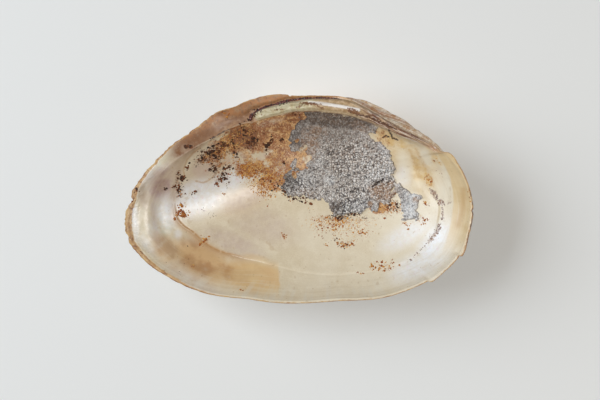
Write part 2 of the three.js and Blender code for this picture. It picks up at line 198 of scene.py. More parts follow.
def ring(knots):
    """A smooth closed function of the angle in degrees through the knots.

    Between two knots it is the cubic whose end slopes are taken across each knot's neighbours.
    """
    ordered = sorted((a % 360, v) for a, v in knots)
    angle = np.array([a for a, _ in ordered], float)
    value = np.array([v for _, v in ordered], float)
    angle = np.concatenate([angle[-2:] - 360, angle, angle[:2] + 360])
    value = np.concatenate([value[-2:], value, value[:2]])
    slope = np.zeros_like(value)
    slope[1:-1] = (value[2:] - value[:-2]) / (angle[2:] - angle[:-2])

    def evaluate(degrees):
        a = np.mod(degrees, 360)
        i = np.clip(np.searchsorted(angle, a, side="right") - 1, 1, len(angle) - 3)
        span = angle[i + 1] - angle[i]
        t = (a - angle[i]) / span
        start = 2 * t**3 - 3 * t**2 + 1
        return (
            start * value[i]
            + (t**3 - 2 * t**2 + t) * span * slope[i]
            + (1 - start) * value[i + 1]
            + (t**3 - t**2) * span * slope[i + 1]
        )

    return evaluate


def polar(x, y):
    """The angle in degrees and the distance of plan points about the deepest point."""
    return np.degrees(np.arctan2(y - DEEPEST[1], x - DEEPEST[0])), np.hypot(x - DEEPEST[0], y - DEEPEST[1])


def plan(a, r):
    """Plan x and y of polar points about the deepest point."""
    return DEEPEST[0] + r * np.cos(np.radians(a)), DEEPEST[1] + r * np.sin(np.radians(a))


def lattice(ix, iy, seed):
    """Repeatable numbers from 0 to 1, one for each whole-number lattice point."""
    h = (ix.astype(np.int64) * 374761393 + iy.astype(np.int64) * 668265263 + seed * 974634777) & 0xFFFFFFFF
    h = ((h ^ (h >> 13)) * 1274126177) & 0xFFFFFFFF
    return ((h ^ (h >> 16)) & 0xFFFF) / 65535.0


def grain(x, y, cell, seed=0):
    """Value noise from -1 to 1: lattice numbers blended by soft steps within each square cell."""
    u = np.asarray(x, float) / cell + 1000.0
    v = np.asarray(y, float) / cell + 1000.0
    iu, iv = np.floor(u), np.floor(v)
    fu, fv = smooth(u - iu, 0, 1), smooth(v - iv, 0, 1)
    low = lattice(iu, iv, seed) * (1 - fu) + lattice(iu + 1, iv, seed) * fu
    high = lattice(iu, iv + 1, seed) * (1 - fu) + lattice(iu + 1, iv + 1, seed) * fu
    return 2 * (low * (1 - fv) + high * fv) - 1


def rough(x, y, cell, octaves=3, seed=0):
    """Noise summed over octaves: each has half the cell and half the weight of the one before."""
    total = sum(grain(x, y, cell / 2**k, seed + k) / 2**k for k in range(octaves))
    return total / sum(1 / 2**k for k in range(octaves))


def pebbles(x, y, cell, seed):
    """Scattered pebbles, one in each square cell: how far to the nearest, how much further to the
    next, both in cells, and the nearest one's own number from 0 to 1."""
    u = np.asarray(x, float) / cell + 1000.0
    v = np.asarray(y, float) / cell + 1000.0
    iu, iv = np.floor(u), np.floor(v)
    near = np.full(u.shape, 9.0)
    after = np.full(u.shape, 9.0)
    number = np.zeros(u.shape)
    for du in (-1, 0, 1):
        for dv in (-1, 0, 1):
            at_u = iu + du + 0.1 + 0.8 * lattice(iu + du, iv + dv, seed)
            at_v = iv + dv + 0.1 + 0.8 * lattice(iu + du, iv + dv, seed + 1)
            far = np.hypot(u - at_u, v - at_v)
            closer = far < near
            after = np.where(closer, near, np.minimum(after, far))
            number = np.where(closer, lattice(iu + du, iv + dv, seed + 2), number)
            near = np.minimum(near, far)
    return near, after - near, number


outline = ring([polar(np.float64(x), np.float64(y)) for x, y in OUTLINE])
basin_inset = ring(BASIN_INSET)
bowl_inset = ring(BOWL_INSET)
tooth_inset = ring(TOOTH_INSET)
overhang = ring(BEAK_OVERHANG)
rim_width = ring(RIM_WIDTH)
fullness = ring(FULLNESS)
flare = ring(FLARE)
lip_drop = ring(LIP_DROP)
undercut = ring(UNDERCUT)
frayed = ring(FRAYED)


def around(a, middle):
    """Angle a less the middle, brought to between -180 and 180."""
    return np.mod(a - middle + 180, 360) - 180


def broken_edge(a):
    """How far the real edge departs from the smooth outline: jags, nicks and chips."""
    x, y = plan(a, outline(a))
    out = frayed(a) * (rough(x, y, 1.7, 3, 11) + 0.4 * grain(x, y, 0.6, 17))
    out = out + TAIL_SWELL["out"] * bell(around(a, TAIL_SWELL["at"]), TAIL_SWELL["wide"])
    for nick in NICKS:
        out = out - nick["deep"] * bell(around(a, nick["at"]), nick["wide"])
    for chip in CHIPS:
        past = around(a, chip["at"])
        out = out + chip["out"] * smooth(past, -0.25, 0.25) * (1 - smooth(past, 0.5, chip["reach"]))
    return out


def broken(points, a, share):
    """Points near the edge moved outwards in plan by the broken edge, the more the closer they are."""
    out = broken_edge(a) * smooth(share, 0.955, 1)
    shift = np.stack([out * np.cos(np.radians(a)), out * np.sin(np.radians(a)), np.zeros_like(out)], -1)
    return points + shift


def edge_radius(a):
    """The edge of the pearly face: the outline, less what the beak overhangs."""
    return outline(a) - np.maximum(0, overhang(a))


def basin_radius(a):
    """Where the deep basin turns up to the flange."""
    return outline(a) - basin_inset(a)


pallial_radius = ring([polar(np.float64(x), np.float64(y)) for x, y in PALLIAL_PATH] + [
    (a, float(basin_radius(np.float64(a)))) for a in (20, 45, 70, 95, 120, 145, 165)
])


def bowl_radius(a):
    """The lip of the bowl, never nearer to the edge than the rim is thick."""
    return np.minimum(outline(a) - bowl_inset(a), edge_radius(a) - RIM_THICKNESS)


def tooth_radius(a):
    """The outer edge of the hinge tooth."""
    return np.minimum(outline(a) - tooth_inset(a), edge_radius(a) - 0.15)


def soft_lip(a):
    """The lip averaged over 24 degrees, which takes out the small steps of the edge."""
    return sum(bowl_radius(a + d) for d in (-12, -8, -4, 0, 4, 8, 12)) / 7


def ligament_radius(a):
    """The middle line of the groove that holds the ligament."""
    return np.minimum(tooth_radius(a) + LIGAMENT_OFFSET, edge_radius(a) - LIGAMENT_MARGIN)


def rim_height(x, y, a, share):
    """The rim plane: a slope in x and y, and a slight wave that only the edge has."""
    wave = 0.3 * np.sin(np.radians(3 * a + 40)) + 0.2 * np.sin(np.radians(5 * a))
    slope = RIM_SLOPE[0] * (x - DEEPEST[0]) + RIM_SLOPE[1] * (y - DEEPEST[1])
    return slope + wave * share**4


def ellipse_reach(x, y, at, half, turn):
    """How far out a place lies in a turned ellipse: 0 at its middle, 1 on its border."""
    c, s = np.cos(np.radians(turn)), np.sin(np.radians(turn))
    u = ((x - at[0]) * c + (y - at[1]) * s) / half[0]
    v = (-(x - at[0]) * s + (y - at[1]) * c) / half[1]
    return np.hypot(u, v)


def patch(x, y, at, half, turn=0.0, soft=0.45):
    """1 inside an ellipse with the half sizes, turned by the angle, and 0 outside, over a soft border."""
    return 1 - smooth(ellipse_reach(x, y, at, half, turn), 1 - soft, 1 + soft)


def stretch_distance(x, y, start, end):
    """Distance in plan to one straight stretch, measured to its nearest place between the ends."""
    dx, dy = end[0] - start[0], end[1] - start[1]
    t = np.clip(((x - start[0]) * dx + (y - start[1]) * dy) / (dx * dx + dy * dy), 0, 1)
    return np.hypot(x - start[0] - t * dx, y - start[1] - t * dy)


def path_distance(x, y, points):
    """Distance in plan to a line of straight stretches, the least over the stretches."""
    best = np.full(np.shape(x), np.inf)
    for start, end in zip(points, points[1:]):
        best = np.minimum(best, stretch_distance(x, y, start, end))
    return best


def depth_inside(x, y, corners):
    """Distance in from a closed outline, negative outside, by crossing counts along +x."""
    closed = list(corners) + [corners[0]]
    crossings = np.zeros(np.shape(x), int)
    for (x0, y0), (x1, y1) in zip(closed, closed[1:]):
        spans = (y0 > y) != (y1 > y)
        at = x0 + (y - y0) * (x1 - x0) / (y1 - y0 if y1 != y0 else 1e-9)
        crossings = crossings + (spans & (x < at))
    return np.where(crossings % 2 == 1, 1, -1) * path_distance(x, y, closed)


def seen(points):
    """Plan places as the photograph shows them: drawn in towards its middle by their depth."""
    share = VIEW_DISTANCE / (VIEW_DISTANCE - points[..., 2])
    x = VIEW_CENTRE[0] + (points[..., 0] - VIEW_CENTRE[0]) * share
    y = VIEW_CENTRE[1] + (points[..., 1] - VIEW_CENTRE[1]) * share
    return x, y


def hinge_share(a):
    """How far the hinge tooth stands, 0 to 1: soft at the front, blunt at the back."""
    turn = np.mod(a, 360)
    rise = smooth(turn, HINGE["from"], HINGE["from"] + 10)
    return rise * (1 - smooth(turn, HINGE["to"] - HINGE["fade"], HINGE["to"]))


def plate_place(a, r):
    """Where a point lies across the hinge plate: 0 at the lip, 1 at the outer edge of the tooth."""
    lip = bowl_radius(a)
    return (r - lip) / np.maximum(tooth_radius(a) - lip, 0.3)


def groove_place(a):
    """How far across the plate the tooth's groove runs, by the angle."""
    return 0.3 + 0.28 * smooth(np.mod(a, 360), 40, 75)


def hinge_relief(a, r):
    """Height of the hinge above its slope: a flat-topped tooth with a groove, and the ligament's bed."""
    turn = np.mod(a, 360)
    v = plate_place(a, r)
    body = smooth(v, -0.02, 0.3) * (1 - smooth(v, 0.86, 1.06))
    groove = bell(v - groove_place(a), 0.13) * (1 - smooth(turn, 112, 122))
    fibres = 0.05 * np.sin(2 * np.pi * (5.5 * v + 0.35 * grain(turn, v * 4, 4, 3))) * body
    fibres = fibres * (1 - smooth(turn, 45, 80))
    pits = 0.16 * np.maximum(0, rough(turn * 0.42, v * 4, 0.8, 3, 5) - 0.15) * body
    pits = pits * (1 - smooth(turn, 60, 80))
    bed = bell(r - ligament_radius(a), 0.55)
    bed_share = smooth(turn, LIGAMENT_RUN["from"] - 4, LIGAMENT_RUN["from"] + 4)
    bed_share = bed_share * (1 - smooth(turn, LIGAMENT_RUN["to"] + 1, LIGAMENT_RUN["to"] + 5))
    tooth = TOOTH_HEIGHT * body - TOOTH_GROOVE * groove + fibres - pits
    return hinge_share(a) * tooth - LIGAMENT_GROOVE * bed * bed_share


def muscle_prints(x, y):
    """Shallow hollows pressed into the pearl, each an ellipse with a soft border."""
    reaches = [ellipse_reach(x, y, spot["at"], spot["half"], spot["turn"]) for spot in MUSCLE_PRINTS]
    return sum(spot["depth"] * (1 - smooth(far, 0.6, 1.05)) for spot, far in zip(MUSCLE_PRINTS, reaches))


FRONT_FOLDS = [  # low slanting folds in the pearl between the crust and the front muscle's print
    {"path": [(28.4, 12.4), (29.7, 9.8), (30.4, 7.7), (31.2, 5.4)], "wide": 0.7, "high": -0.14},
    {"path": [(30.2, 12.6), (31.2, 10.3), (32.5, 7.7), (33.8, 5.2)], "wide": 0.9, "high": -0.2},
    {"path": [(26.2, 14.0), (27.8, 10.2), (28.9, 6.6), (30.4, 3.4)], "wide": 1.3, "high": 0.22},
    {"path": [(32.6, 12.6), (34.0, 9.4), (35.4, 5.8), (36.2, 2.6)], "wide": 1.3, "high": 0.2},
    {"path": [(35.6, 11.9), (37.9, 8.5), (39.2, 5.7), (39.7, 2.1), (39.7, -0.5)], "wide": 0.5, "high": 0.12},
]
PRINT_EDGES = [  # thin raised borders of the rear muscle's prints
    [(-25.5, 12.9), (-27.3, 11.6), (-28.9, 9.8), (-29.8, 7.2), (-29.4, 5.2)],
    [(-26.6, 4.4), (-24.8, 3.9), (-23.5, 4.4), (-21.7, 5.9), (-20.1, 7.7), (-18.8, 9.5)],
]


def tail_waves(a, inset, x, y):
    """Low ridges that follow the edge at the rear end: a crest, then a dip before the pallial line."""
    turn = np.mod(a, 360)
    share = smooth(turn, 152, 174) * (1 - smooth(turn, 222, 246))
    u = inset + 0.7 * grain(x, y, 6.0, 33) + 0.15 * grain(x, y, 1.6, 35)
    crest = 0.36 * bell(u - 5.0, 1.9) - 0.16 * bell(u - 8.3, 1.2)
    crinkle = 0.05 * rough(x, y, 1.4, 2, 37) * smooth(u, 1.5, 3) * (1 - smooth(u, 11, 13))
    return share * (crest + crinkle + 0.06 * bell(u - 2.0, 0.5))


def pearl_waves(a, inset, x, y):
    """Slight swells of the pearl, its folds at the front, the borders of the prints and the rear ridges."""
    swell = 0.06 * rough(x, y, 8.0, 2, 21) + 0.012 * grain(x, y, 2.2, 29)
    for fold in FRONT_FOLDS:
        swell = swell + fold["high"] * bell(path_distance(x, y, fold["path"]), fold["wide"])
    for border in PRINT_EDGES:
        swell = swell + 0.05 * bell(path_distance(x, y, border), 0.4)
    return swell + tail_waves(a, inset, x, y)


def inner_face(a, r):
    """The pearly face. In the bowl z falls from the lip by the power law of the cross-sections,
    less the prints and the pallial step, and points near the lip reach outwards under it.
    Past the lip it is the hinge plate, the wing behind it and the free edge."""
    a, r = np.broadcast_arrays(np.asarray(a, float), np.asarray(r, float))
    shape = bpy.context.scene.clam_shape
    lip = bowl_radius(a)
    edge = edge_radius(a)
    drop = lip_drop(a)
    x, y = plan(a, r)
    rim = rim_height(x, y, a, r / edge)
    inset = np.maximum(edge - r, 0)
    lip_here = soft_lip(a) + (lip - soft_lip(a)) * smooth(r / lip, 0.88, 1)
    share = np.clip(r / lip_here, 0, 1)
    soft_lips = TAIL_FLARE["more"] * bell(around(a, TAIL_FLARE["at"]), TAIL_FLARE["wide"])
    soft_lips = soft_lips + FRONT_FLARE["more"] * bell(around(a, FRONT_FLARE["at"]), FRONT_FLARE["wide"])
    depth = (1 - share ** fullness(a)) ** (flare(a) + soft_lips)
    reach = np.maximum(0, undercut(a) * smooth(share, 0.7, 0.93) * (1 - smooth(share, 0.95, 1)))
    line = r - pallial_radius(a)
    turn = np.mod(a, 360)
    faint = 1 - 0.65 * smooth(turn, 225, 245) * (1 - smooth(turn, 325, 345))
    step = PALLIAL_STEP * faint * smooth(line, -0.5, 0.3) * (1 - smooth(share, 0.8, 0.97))
    groove = 0.09 * bell(line, 0.4) * smooth(turn, 180, 200) * (1 - 0.7 * smooth(turn, 225, 245))
    waves = pearl_waves(a, inset, x, y) * (1 - smooth(share, 0.97, 1))
    bowl = rim - drop - (shape.hollow_depth / MM - drop) * depth - muscle_prints(x, y) - step - groove + waves
    bowl_x, bowl_y = plan(a, r + reach)
    v = np.clip((r - lip) / np.maximum(edge - lip, 0.01), 0, 1)
    dish = FLANGE_DISH * np.sin(np.pi * v) * smooth(turn, 130, 138) * (1 - smooth(turn, 144, 160))
    plate = rim - drop * (1 - smooth(v, 0, 0.75)) - dish + hinge_relief(a, r)
    plate = plate + 0.06 * rough(x, y, 2.5, 3, 31) * smooth(v, 0, 0.2)
    band = 0.14 * (1 - smooth(inset - rim_width(a), -0.12, 0.18)) * smooth(rim_width(a), 0.4, 0.9)
    bowled = r <= lip
    return np.stack(
        [np.where(bowled, bowl_x, x), np.where(bowled, bowl_y, y), np.where(bowled, bowl, plate) - band], -1
    )


def back_radius(a):
    """The outline of the back: fuller at the beak, and averaged over 30 degrees at the front."""
    soft = sum(outline(a + d) + BEAK_SWELL * overhang(a + d) for d in (-15, -10, -5, 0, 5, 10, 15)) / 7
    turn = around(a, 0)
    share = smooth(turn, -20, 0) * (1 - smooth(turn, 60, 100))
    return outline(a) * (1 - share) + soft * share


def back_face(a, share):
    """The rounded back: share 1 is the rim, 0 is under the deepest point."""
    shape = bpy.context.scene.clam_shape
    blend = smooth(share, 0.965, 1)
    x, y = plan(a, share * (back_radius(a) * (1 - blend) + edge_radius(a) * blend))
    depth = (1 - np.clip(share, 0, 1) ** (fullness(a) + 0.15)) ** (flare(a) * 0.94)
    bevel = 0.5 * RIM_THICKNESS * smooth(1 - share, 0, 0.02)
    z = rim_height(x, y, a, share) - bevel - shape.shell_depth / MM * depth
    return np.stack([x, y, z], -1)


def off_face(face, a, r, step, distance):
    """Points of a face moved along its normal, which is the cross product of its two tangents."""
    a, r = np.broadcast_arrays(np.asarray(a, float), np.asarray(r, float))
    p = face(a, r)
    along = face(a, r + step) - p
    round_ = face(a + np.sign(step), r) - p
    normal = np.cross(along, round_)
    normal = normal / np.maximum(np.linalg.norm(normal, axis=-1, keepdims=True), 1e-12)
    return p + normal * np.asarray(distance, float)[..., None]


def growth_face(a, age, ridge):
    """The back laid out in growth lines: each is the rim shrunk towards the beak by the age."""
    bx = BEAK["share"] * np.cos(np.radians(BEAK["turn"]))
    by = BEAK["share"] * np.sin(np.radians(BEAK["turn"]))
    x = bx * (1 - age) + np.cos(np.radians(a)) * age
    y = by * (1 - age) + np.sin(np.radians(a)) * age
    turn = np.degrees(np.arctan2(y, x))
    share = np.minimum(np.hypot(x, y), 1)
    return off_face(back_face, turn, share, -0.01, -ridge)


def rim_angles(count):
    """Angles evenly spaced along the outline."""
    fine = np.linspace(0, 360, 7201)
    x, y = plan(fine, outline(fine))
    length = np.concatenate([[0], np.cumsum(np.hypot(np.diff(x), np.diff(y)))])
    return np.interp(np.arange(count) * length[-1] / count, length, fine)


def solid_of_rings(name, first_pole, rings, last_pole, columns):
    """A closed mesh: rings of points between two poles, joined by quads, with triangles at the poles.

    rings is an array of rows by columns by 3, and columns holds one value a vertex for each attribute.
    """
    rows, count = rings.shape[:2]
    points = np.concatenate([first_pole.reshape(1, 3), rings.reshape(-1, 3), last_pole.reshape(1, 3)])
    ids = 1 + np.arange(rows * count).reshape(rows, count)
    after = np.roll(ids, -1, axis=1)
    quads = np.stack([ids[:-1], ids[1:], after[1:], after[:-1]], -1).reshape(-1, 4)
    first = np.stack([np.zeros(count, int), ids[0], after[0]], -1)
    last = np.stack([np.full(count, len(points) - 1), after[-1], ids[-1]], -1)
    return new_mesh(name, points, [first, quads, last], columns)


def new_mesh(name, points, face_groups, columns=None):
    """A mesh object from points in millimetres and arrays of triangles and quads."""
    mesh = bpy.data.meshes.new(name)
    corners = np.concatenate([g.reshape(-1) for g in face_groups]).astype(np.int32)
    sizes = np.concatenate([np.full(len(g), g.shape[1]) for g in face_groups]).astype(np.int32)
    starts = np.concatenate([[0], np.cumsum(sizes)[:-1]]).astype(np.int32)
    mesh.vertices.add(len(points))
    mesh.vertices.foreach_set("co", (points * MM).astype(np.float32).reshape(-1))
    mesh.loops.add(len(corners))
    mesh.loops.foreach_set("vertex_index", corners)
    mesh.polygons.add(len(sizes))
    mesh.polygons.foreach_set("loop_start", starts)
    mesh.update(calc_edges=True)
    mesh.validate()
    mesh.polygons.foreach_set("use_smooth", np.ones(len(mesh.polygons), bool))
    for key, values in (columns or {}).items():
        attribute = mesh.attributes.new(key, "FLOAT", "POINT")
        attribute.data.foreach_set("value", np.asarray(values, np.float32).reshape(-1))
    piece = bpy.data.objects.new(name, mesh)
    bpy.context.scene.collection.objects.link(piece)
    return piece


def settled(points, lowest):
    """Plan millimetres moved into the frame: box centred as the CAD valve's, standing on its worn spot."""
    low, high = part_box("valve")
    scale = bpy.context.scene.clam_shape.length / MM / PLAN_LENGTH
    middle = np.array([(low.x + high.x) / 2 / MM, (low.y + high.y) / 2 / MM, 0.0])
    return (points - lowest) * scale + middle


def build_frame_offset():
    """The plan point that comes to the frame's origin: the outline's box centre and the worn lowest level."""
    shape = bpy.context.scene.clam_shape
    a = np.linspace(0, 360, 3601)
    x, y = plan(a, outline(a))
    turns, ages = np.meshgrid(np.linspace(0, 360, 361), np.linspace(0.2, 0.9, 80))
    phase = 2 * np.pi * GROWTH_RIDGE_COUNT * (1 - ages) ** (1 / GROWTH_SPREAD)
    ridge = 0.5 * shape.ridge_height / MM * np.cos(phase) * smooth(ages, 0.05, 0.8)
    floor = growth_face(turns, ages, ridge)[..., 2].min() + shape.worn_depth / MM
    return np.array([(x.min() + x.max()) / 2, (y.min() + y.max()) / 2, floor])


# Colour masks on the pearl, in plan millimetres: centre, half sizes, turn in degrees, strength
STAINS = [
    ((-6.2, 17.0), (10.5, 4.8), 14, 1.0), ((0.4, 21.0), (4.2, 2.0), 0, 1.0),
    ((-13.0, 15.4), (7, 4.6), 15, 1.0), ((-18.6, 13.8), (6.5, 2.8), 32, 0.8),
    ((-3.6, 10.4), (4.8, 7.4), -12, 1.0), ((-12.4, 7.6), (4.2, 2.2), 12, 0.95),
    ((20.6, 16.4), (3.0, 2.0), -40, 0.5), ((23.0, 14.4), (1.0, 2.8), 25, 0.35),
    ((20.8, -2.4), (2.4, 2.0), 0, 1.0), ((-6.4, 4.4), (4.4, 2.6), 20, 0.85),
    ((-16.0, 10.6), (3.0, 4.2), 10, 0.5), ((-21.6, 11.4), (4.6, 3.6), 35, 0.5),
    ((1.4, 9.4), (3.0, 4.6), 10, 0.7),
]
DEEP_STAINS = [
    ((-13.4, 15.6), (3.4, 3.2), 0, 1.3), ((-8.0, 17.8), (5.0, 2.2), 18, 0.6),
    ((-16.8, 17.0), (3.0, 1.2), 20, 0.9), ((-17.6, 14.4), (3.8, 1.6), 28, 0.75),
    ((-1.0, 20.8), (3.0, 1.4), 5, 0.8), ((-12.2, 14.6), (0.9, 1.3), 20, 1.3),
    ((-3.6, 5.0), (2.4, 1.6), 20, 0.5), ((-12.6, 7.0), (3.4, 2.0), 0, 0.4),
    ((-5.4, 8.4), (1.2, 3.0), -40, 0.2),
]
WINDOWS = [  # bare lilac pearl showing between the stains
    ((-16.4, 10.0), (2.8, 1.7), 40, 0.7), ((-13.4, 11.8), (2.2, 1.5), 45, 0.25),
    ((-4.9, 7.4), (1.8, 2.2), 0, 0.6), ((-22.8, 13.2), (2.4, 1.0), 35, 0.4),
    ((-7.4, 19.4), (3.8, 0.9), 16, 0.4), ((-25.0, 7.2), (2.2, 1.6), 30, 0.7),
    ((-9.6, 10.6), (1.6, 0.8), 40, 0.6),
]
GRIME = [
    ((-24.4, 10.6), (3.0, 1.6), 38, 0.9), ((-21.2, 11.6), (1.6, 3.2), 10, 0.8),
    ((-17.0, 13.2), (2.2, 2.4), 0, 0.6), ((-20.4, 5.8), (2.4, 2.2), 20, 0.7),
    ((-30.8, 2.6), (1.1, 3.4), 6, 0.7), ((-14.4, 16.4), (2.4, 2.0), 0, 0.7),
    ((-5.0, 4.6), (3.4, 2.0), 20, 0.6), ((23.5, -2.0), (3.0, 1.6), 0, 0.7), ((12, -5.2), (7, 0.9), 0, 0.7),
]
RUST = [
    ((-29.8, -4.0), (2.2, 0.8), 0, 0.7), ((-24.4, -11.2), (1.3, 1.0), 20, 0.6),
    ((12.2, -11.8), (2.0, 1.3), 0, 0.7), ((21.8, -17.8), (2.6, 0.8), 0, 0.5),
    ((-7.5, 5.0), (6, 2.6), 10, 1.0), ((10.4, -6.4), (8, 2.2), 0, 0.8), ((23.0, -2.8), (5.0, 1.6), 0, 0.8),
    ((14.0, -8.6), (5, 2.4), 0, 0.55), ((30.0, -5.4), (3.5, 1.2), 0, 0.4),
    ((-12.6, 7.6), (4.0, 2.8), 10, 1.0), ((4.6, -6.4), (2.4, 2.4), 0, 0.6),
    ((-3.8, 7.4), (4.4, 4.6), 30, 0.8), ((-17, 14.6), (7, 2.6), 30, 0.8),
    ((33.4, 4.8), (1.2, 1.8), 20, 0.8), ((-8.6, 1.8), (3.4, 1.8), 10, 0.7),
    ((-27.4, -17.6), (0.9, 0.7), 0, 0.9), ((-3.8, -9.8), (1.0, 0.6), 0, 0.6),
]
BLUSH = [
    ((-24.5, -16.4), (9.5, 4.2), -30, 1.0), ((-11.5, -20.2), (10.5, 4.0), -8, 1.2),
    ((-26.0, -13.0), (4.5, 2.4), -35, 0.4), ((-11.0, -15.8), (3.6, 1.2), -14, 0.6),
    ((-34.0, -13.4), (5.0, 3.0), -45, 0.7),
]
BLUSH_END = -5.2
MAUVE = [
    ((-36.2, 2.6), (3.4, 3.4), 20, 0.9), ((-33.4, 6.4), (3.6, 2.4), 30, 0.5),
    ((-37.4, -3.6), (0.8, 6.4), 6, 0.5), ((-31.8, 2.4), (1.4, 4.0), 4, 0.4),
    ((-23.4, 8.6), (5.4, 3.2), 40, 0.5), ((-17.0, -11.6), (7.5, 2.8), -22, 0.45),
    ((-25.5, -14.8), (5.0, 2.6), -30, 0.5), ((-39.5, 0.8), (1.6, 3.0), 0, 0.3),
    ((-21.6, 12.8), (3.4, 1.2), 32, 0.5), ((-26.4, 3.6), (4.0, 1.4), 14, 0.3),
    # The place at (-14.6, -0.6) is painted shade that dims the pearl below the basin's highlight
    ((-9.6, -7.0), (8.5, 4.4), -18, 0.32), ((-14.6, -0.6), (5.6, 2.8), 24, 0.5),
    ((-27.5, -22.0), (8.0, 3.0), -30, 0.4), ((-35.6, 6.6), (3.0, 1.4), 40, 0.9),
    ((-35.6, 2.6), (3.4, 2.6), 30, 1.1), ((-39.4, 4.4), (1.2, 2.6), 10, 0.6),
]
# Painted highlights: places where the pearl's gloss is painted into its colour as near white
PAINTED_HIGHLIGHTS = [
    ((-25.6, -0.4), (6.4, 3.6), 22, 1.0), ((-42.4, -5.4), (0.9, 5.0), 6, 0.9),
    ((-29.4, -1.4), (2.6, 2.6), 0, 0.9), ((-37.2, -8.6), (1.6, 4.0), 10, 0.5),
    ((-34.0, -3.4), (3.2, 3.8), 0, 0.95), ((-18.6, 4.0), (6.4, 2.6), 26, 1.0),
    ((-27.0, 1.6), (4.8, 2.6), 24, 0.9), ((34.6, -11.4), (2.6, 5.6), -36, 1.0),
    ((27.5, -9.6), (6.5, 2.4), 28, 0.7), ((-39.5, 6.4), (3.4, 2.0), 40, 0.5),
    ((-39.0, -12.2), (1.2, 3.0), 40, 0.5), ((31.0, -17.4), (7.0, 3.0), 24, 0.85),
    ((-31.2, -9.4), (0.9, 1.2), 0, 0.7), ((26.6, 5.6), (2.0, 2.6), 20, 0.5),
]
GREENS = [
    ((-34.4, -6.8), (1.6, 3.6), 0, 1.0), ((-31.6, -10.8), (2.0, 1.4), -40, 0.7),
    ((-37.4, 8.0), (3.0, 1.8), 40, 0.9), ((-34.0, 11.8), (3.0, 1.2), 40, 0.6),
    ((-40.4, 3.4), (2.0, 3.4), -15, 0.5), ((-36.0, 9.6), (4.0, 1.6), 40, 0.5),
    ((-34.6, -9.0), (3.0, 1.6), 0, 0.6), ((-38.6, -10.0), (2.0, 3.0), 20, 0.4),
    ((-28.6, -11.0), (2.2, 1.4), -30, 0.3),
]
YELLOWS = [
    ((35.0, 10.2), (1.0, 1.4), 20, 0.7), ((36.2, 9.0), (1.2, 0.5), -35, 0.7),
    ((33.2, 6.4), (1.2, 3.9), 24, 0.65), ((30.6, 8.0), (1.2, 4.2), 24, 0.6),
    ((33.6, 4.0), (1.0, 1.6), 20, 0.8), ((26.6, 14.0), (1.8, 1.4), 20, 0.5),
    ((34.6, 12.4), (2.4, 0.9), -32, 0.5), ((23.6, 15.0), (1.0, 2.4), 20, 0.7),
]
TAN_FIELD = [
    ((29.6, 7.0), (2.6, 5.0), 20, 0.8), ((35.4, 7.0), (1.6, 4.0), 20, 0.5),
    ((25.0, 6.6), (1.0, 4.6), 14, 0.6), ((22.6, 16.2), (3.6, 2.6), -36, 1.0),
    ((26.2, 10.6), (4.4, 7.6), 12, 0.6), ((30.6, 13.2), (6.0, 2.6), -30, 0.7),
    # The place at (-14.6, -0.6) is painted shade, a tan tint that dims the pearl below the basin's highlight
    ((33.6, 2.6), (2.4, 3.0), 10, 0.3), ((-14.6, -0.6), (6.2, 3.6), 24, 0.3),
    ((25.6, 14.0), (3.4, 2.4), -30, 0.6),
]
LIGHT_LOBES = [  # pale swells of the pearl between the yellow strokes
    ((27.2, 8.6), (1.8, 3.6), 16, 1.0), ((26.6, 5.0), (2.2, 1.6), -20, 0.8),
    ((32.6, 10.8), (1.3, 2.6), 26, 1.0), ((37.0, 4.0), (2.0, 4.0), 10, 0.7),
    ((30.6, 3.6), (1.4, 1.0), -30, 0.8),
]
AMBER_EDGE = [  # inner border of the amber band in the front margin
    (33.3, -18.6), (35.3, -16.0), (37.5, -12.4), (38.6, -8.8), (39.4, -4.9), (39.8, -1.3), (39.6, 2.1),
    (38.9, 5.4), (37.7, 8.0), (36.2, 10.3), (35.4, 12.6),
]
AMBER_STREAK = [(42.3, 2.1), (42.4, -0.5), (42.1, -3.6), (40.8, -7.2)]
CRACKS = [
    [(23.1, 17.5), (23.7, 16.5), (24.0, 15.5), (25.3, 15.0)],
    [(21.7, 15.6), (22.4, 16.1), (23.2, 15.7)],
]
WING_SHADE = [(-22.4, 15.4), (-19.8, 16.9), (-17.6, 17.8), (-15.8, 18.2)]
# Painted shade along the fold where the wing's lip runs down into the bowl
WING_FOLD_SHADE = [(-29.9, 13.2), (-28.6, 11.4), (-30.8, 7.4), (-31.6, 3.8), (-32.2, 0.4)]
WING_BROWN = [
    ((-29.8, 12.9), (3.8, 1.9), 42, 1.2), ((-24.8, 15.7), (3.6, 1.5), 32, 0.9),
    ((-27.4, 14.0), (6.4, 2.2), 36, 1.0), ((-22.6, 16.6), (4.4, 1.4), 30, 0.8),
    ((-31.4, 11.0), (2.6, 2.0), 30, 0.6), ((-20.0, 22.0), (1.4, 1.2), 20, 0.7),
    ((-40.6, 1.6), (1.2, 3.6), 10, 0.5), ((-36.8, 4.8), (2.4, 2.6), 30, 0.4),
    ((-17.8, 20.2), (4.0, 1.2), 20, 0.35),
]
FRONT_DIRT = [
    ((34.8, 1.0), (0.8, 1.8), 32, 0.9), ((36.7, -1.0), (0.8, 0.9), 30, 1.0),
    ((37.0, -3.6), (0.35, 2.2), 4, 0.8), ((35.8, -8.2), (0.5, 1.6), -30, 0.95),
    ((34.4, -10.2), (0.6, 1.9), -42, 0.95), ((38.6, -1.2), (0.7, 0.6), 0, 0.5),
]
TOOTH_MARKS = [  # brown flakes on the hinge plate
    ((2.8, 24.3), (3.0, 0.4), -4, 1.0), ((5.0, 23.6), (1.5, 0.3), -20, 0.8),
    ((0.2, 23.6), (1.2, 0.3), 10, 0.7), ((-5.2, 22.8), (1.8, 0.22), 4, 0.8),
    ((14.0, 22.4), (1.7, 0.6), -20, 1.2), ((-9.6, 21.4), (0.4, 0.2), 0, 0.8),
]
TOOTH_WHITE = [(2.6, 24.6), (5.4, 24.4), (8.4, 24.0), (12.4, 23.3), (15.4, 22.7)]
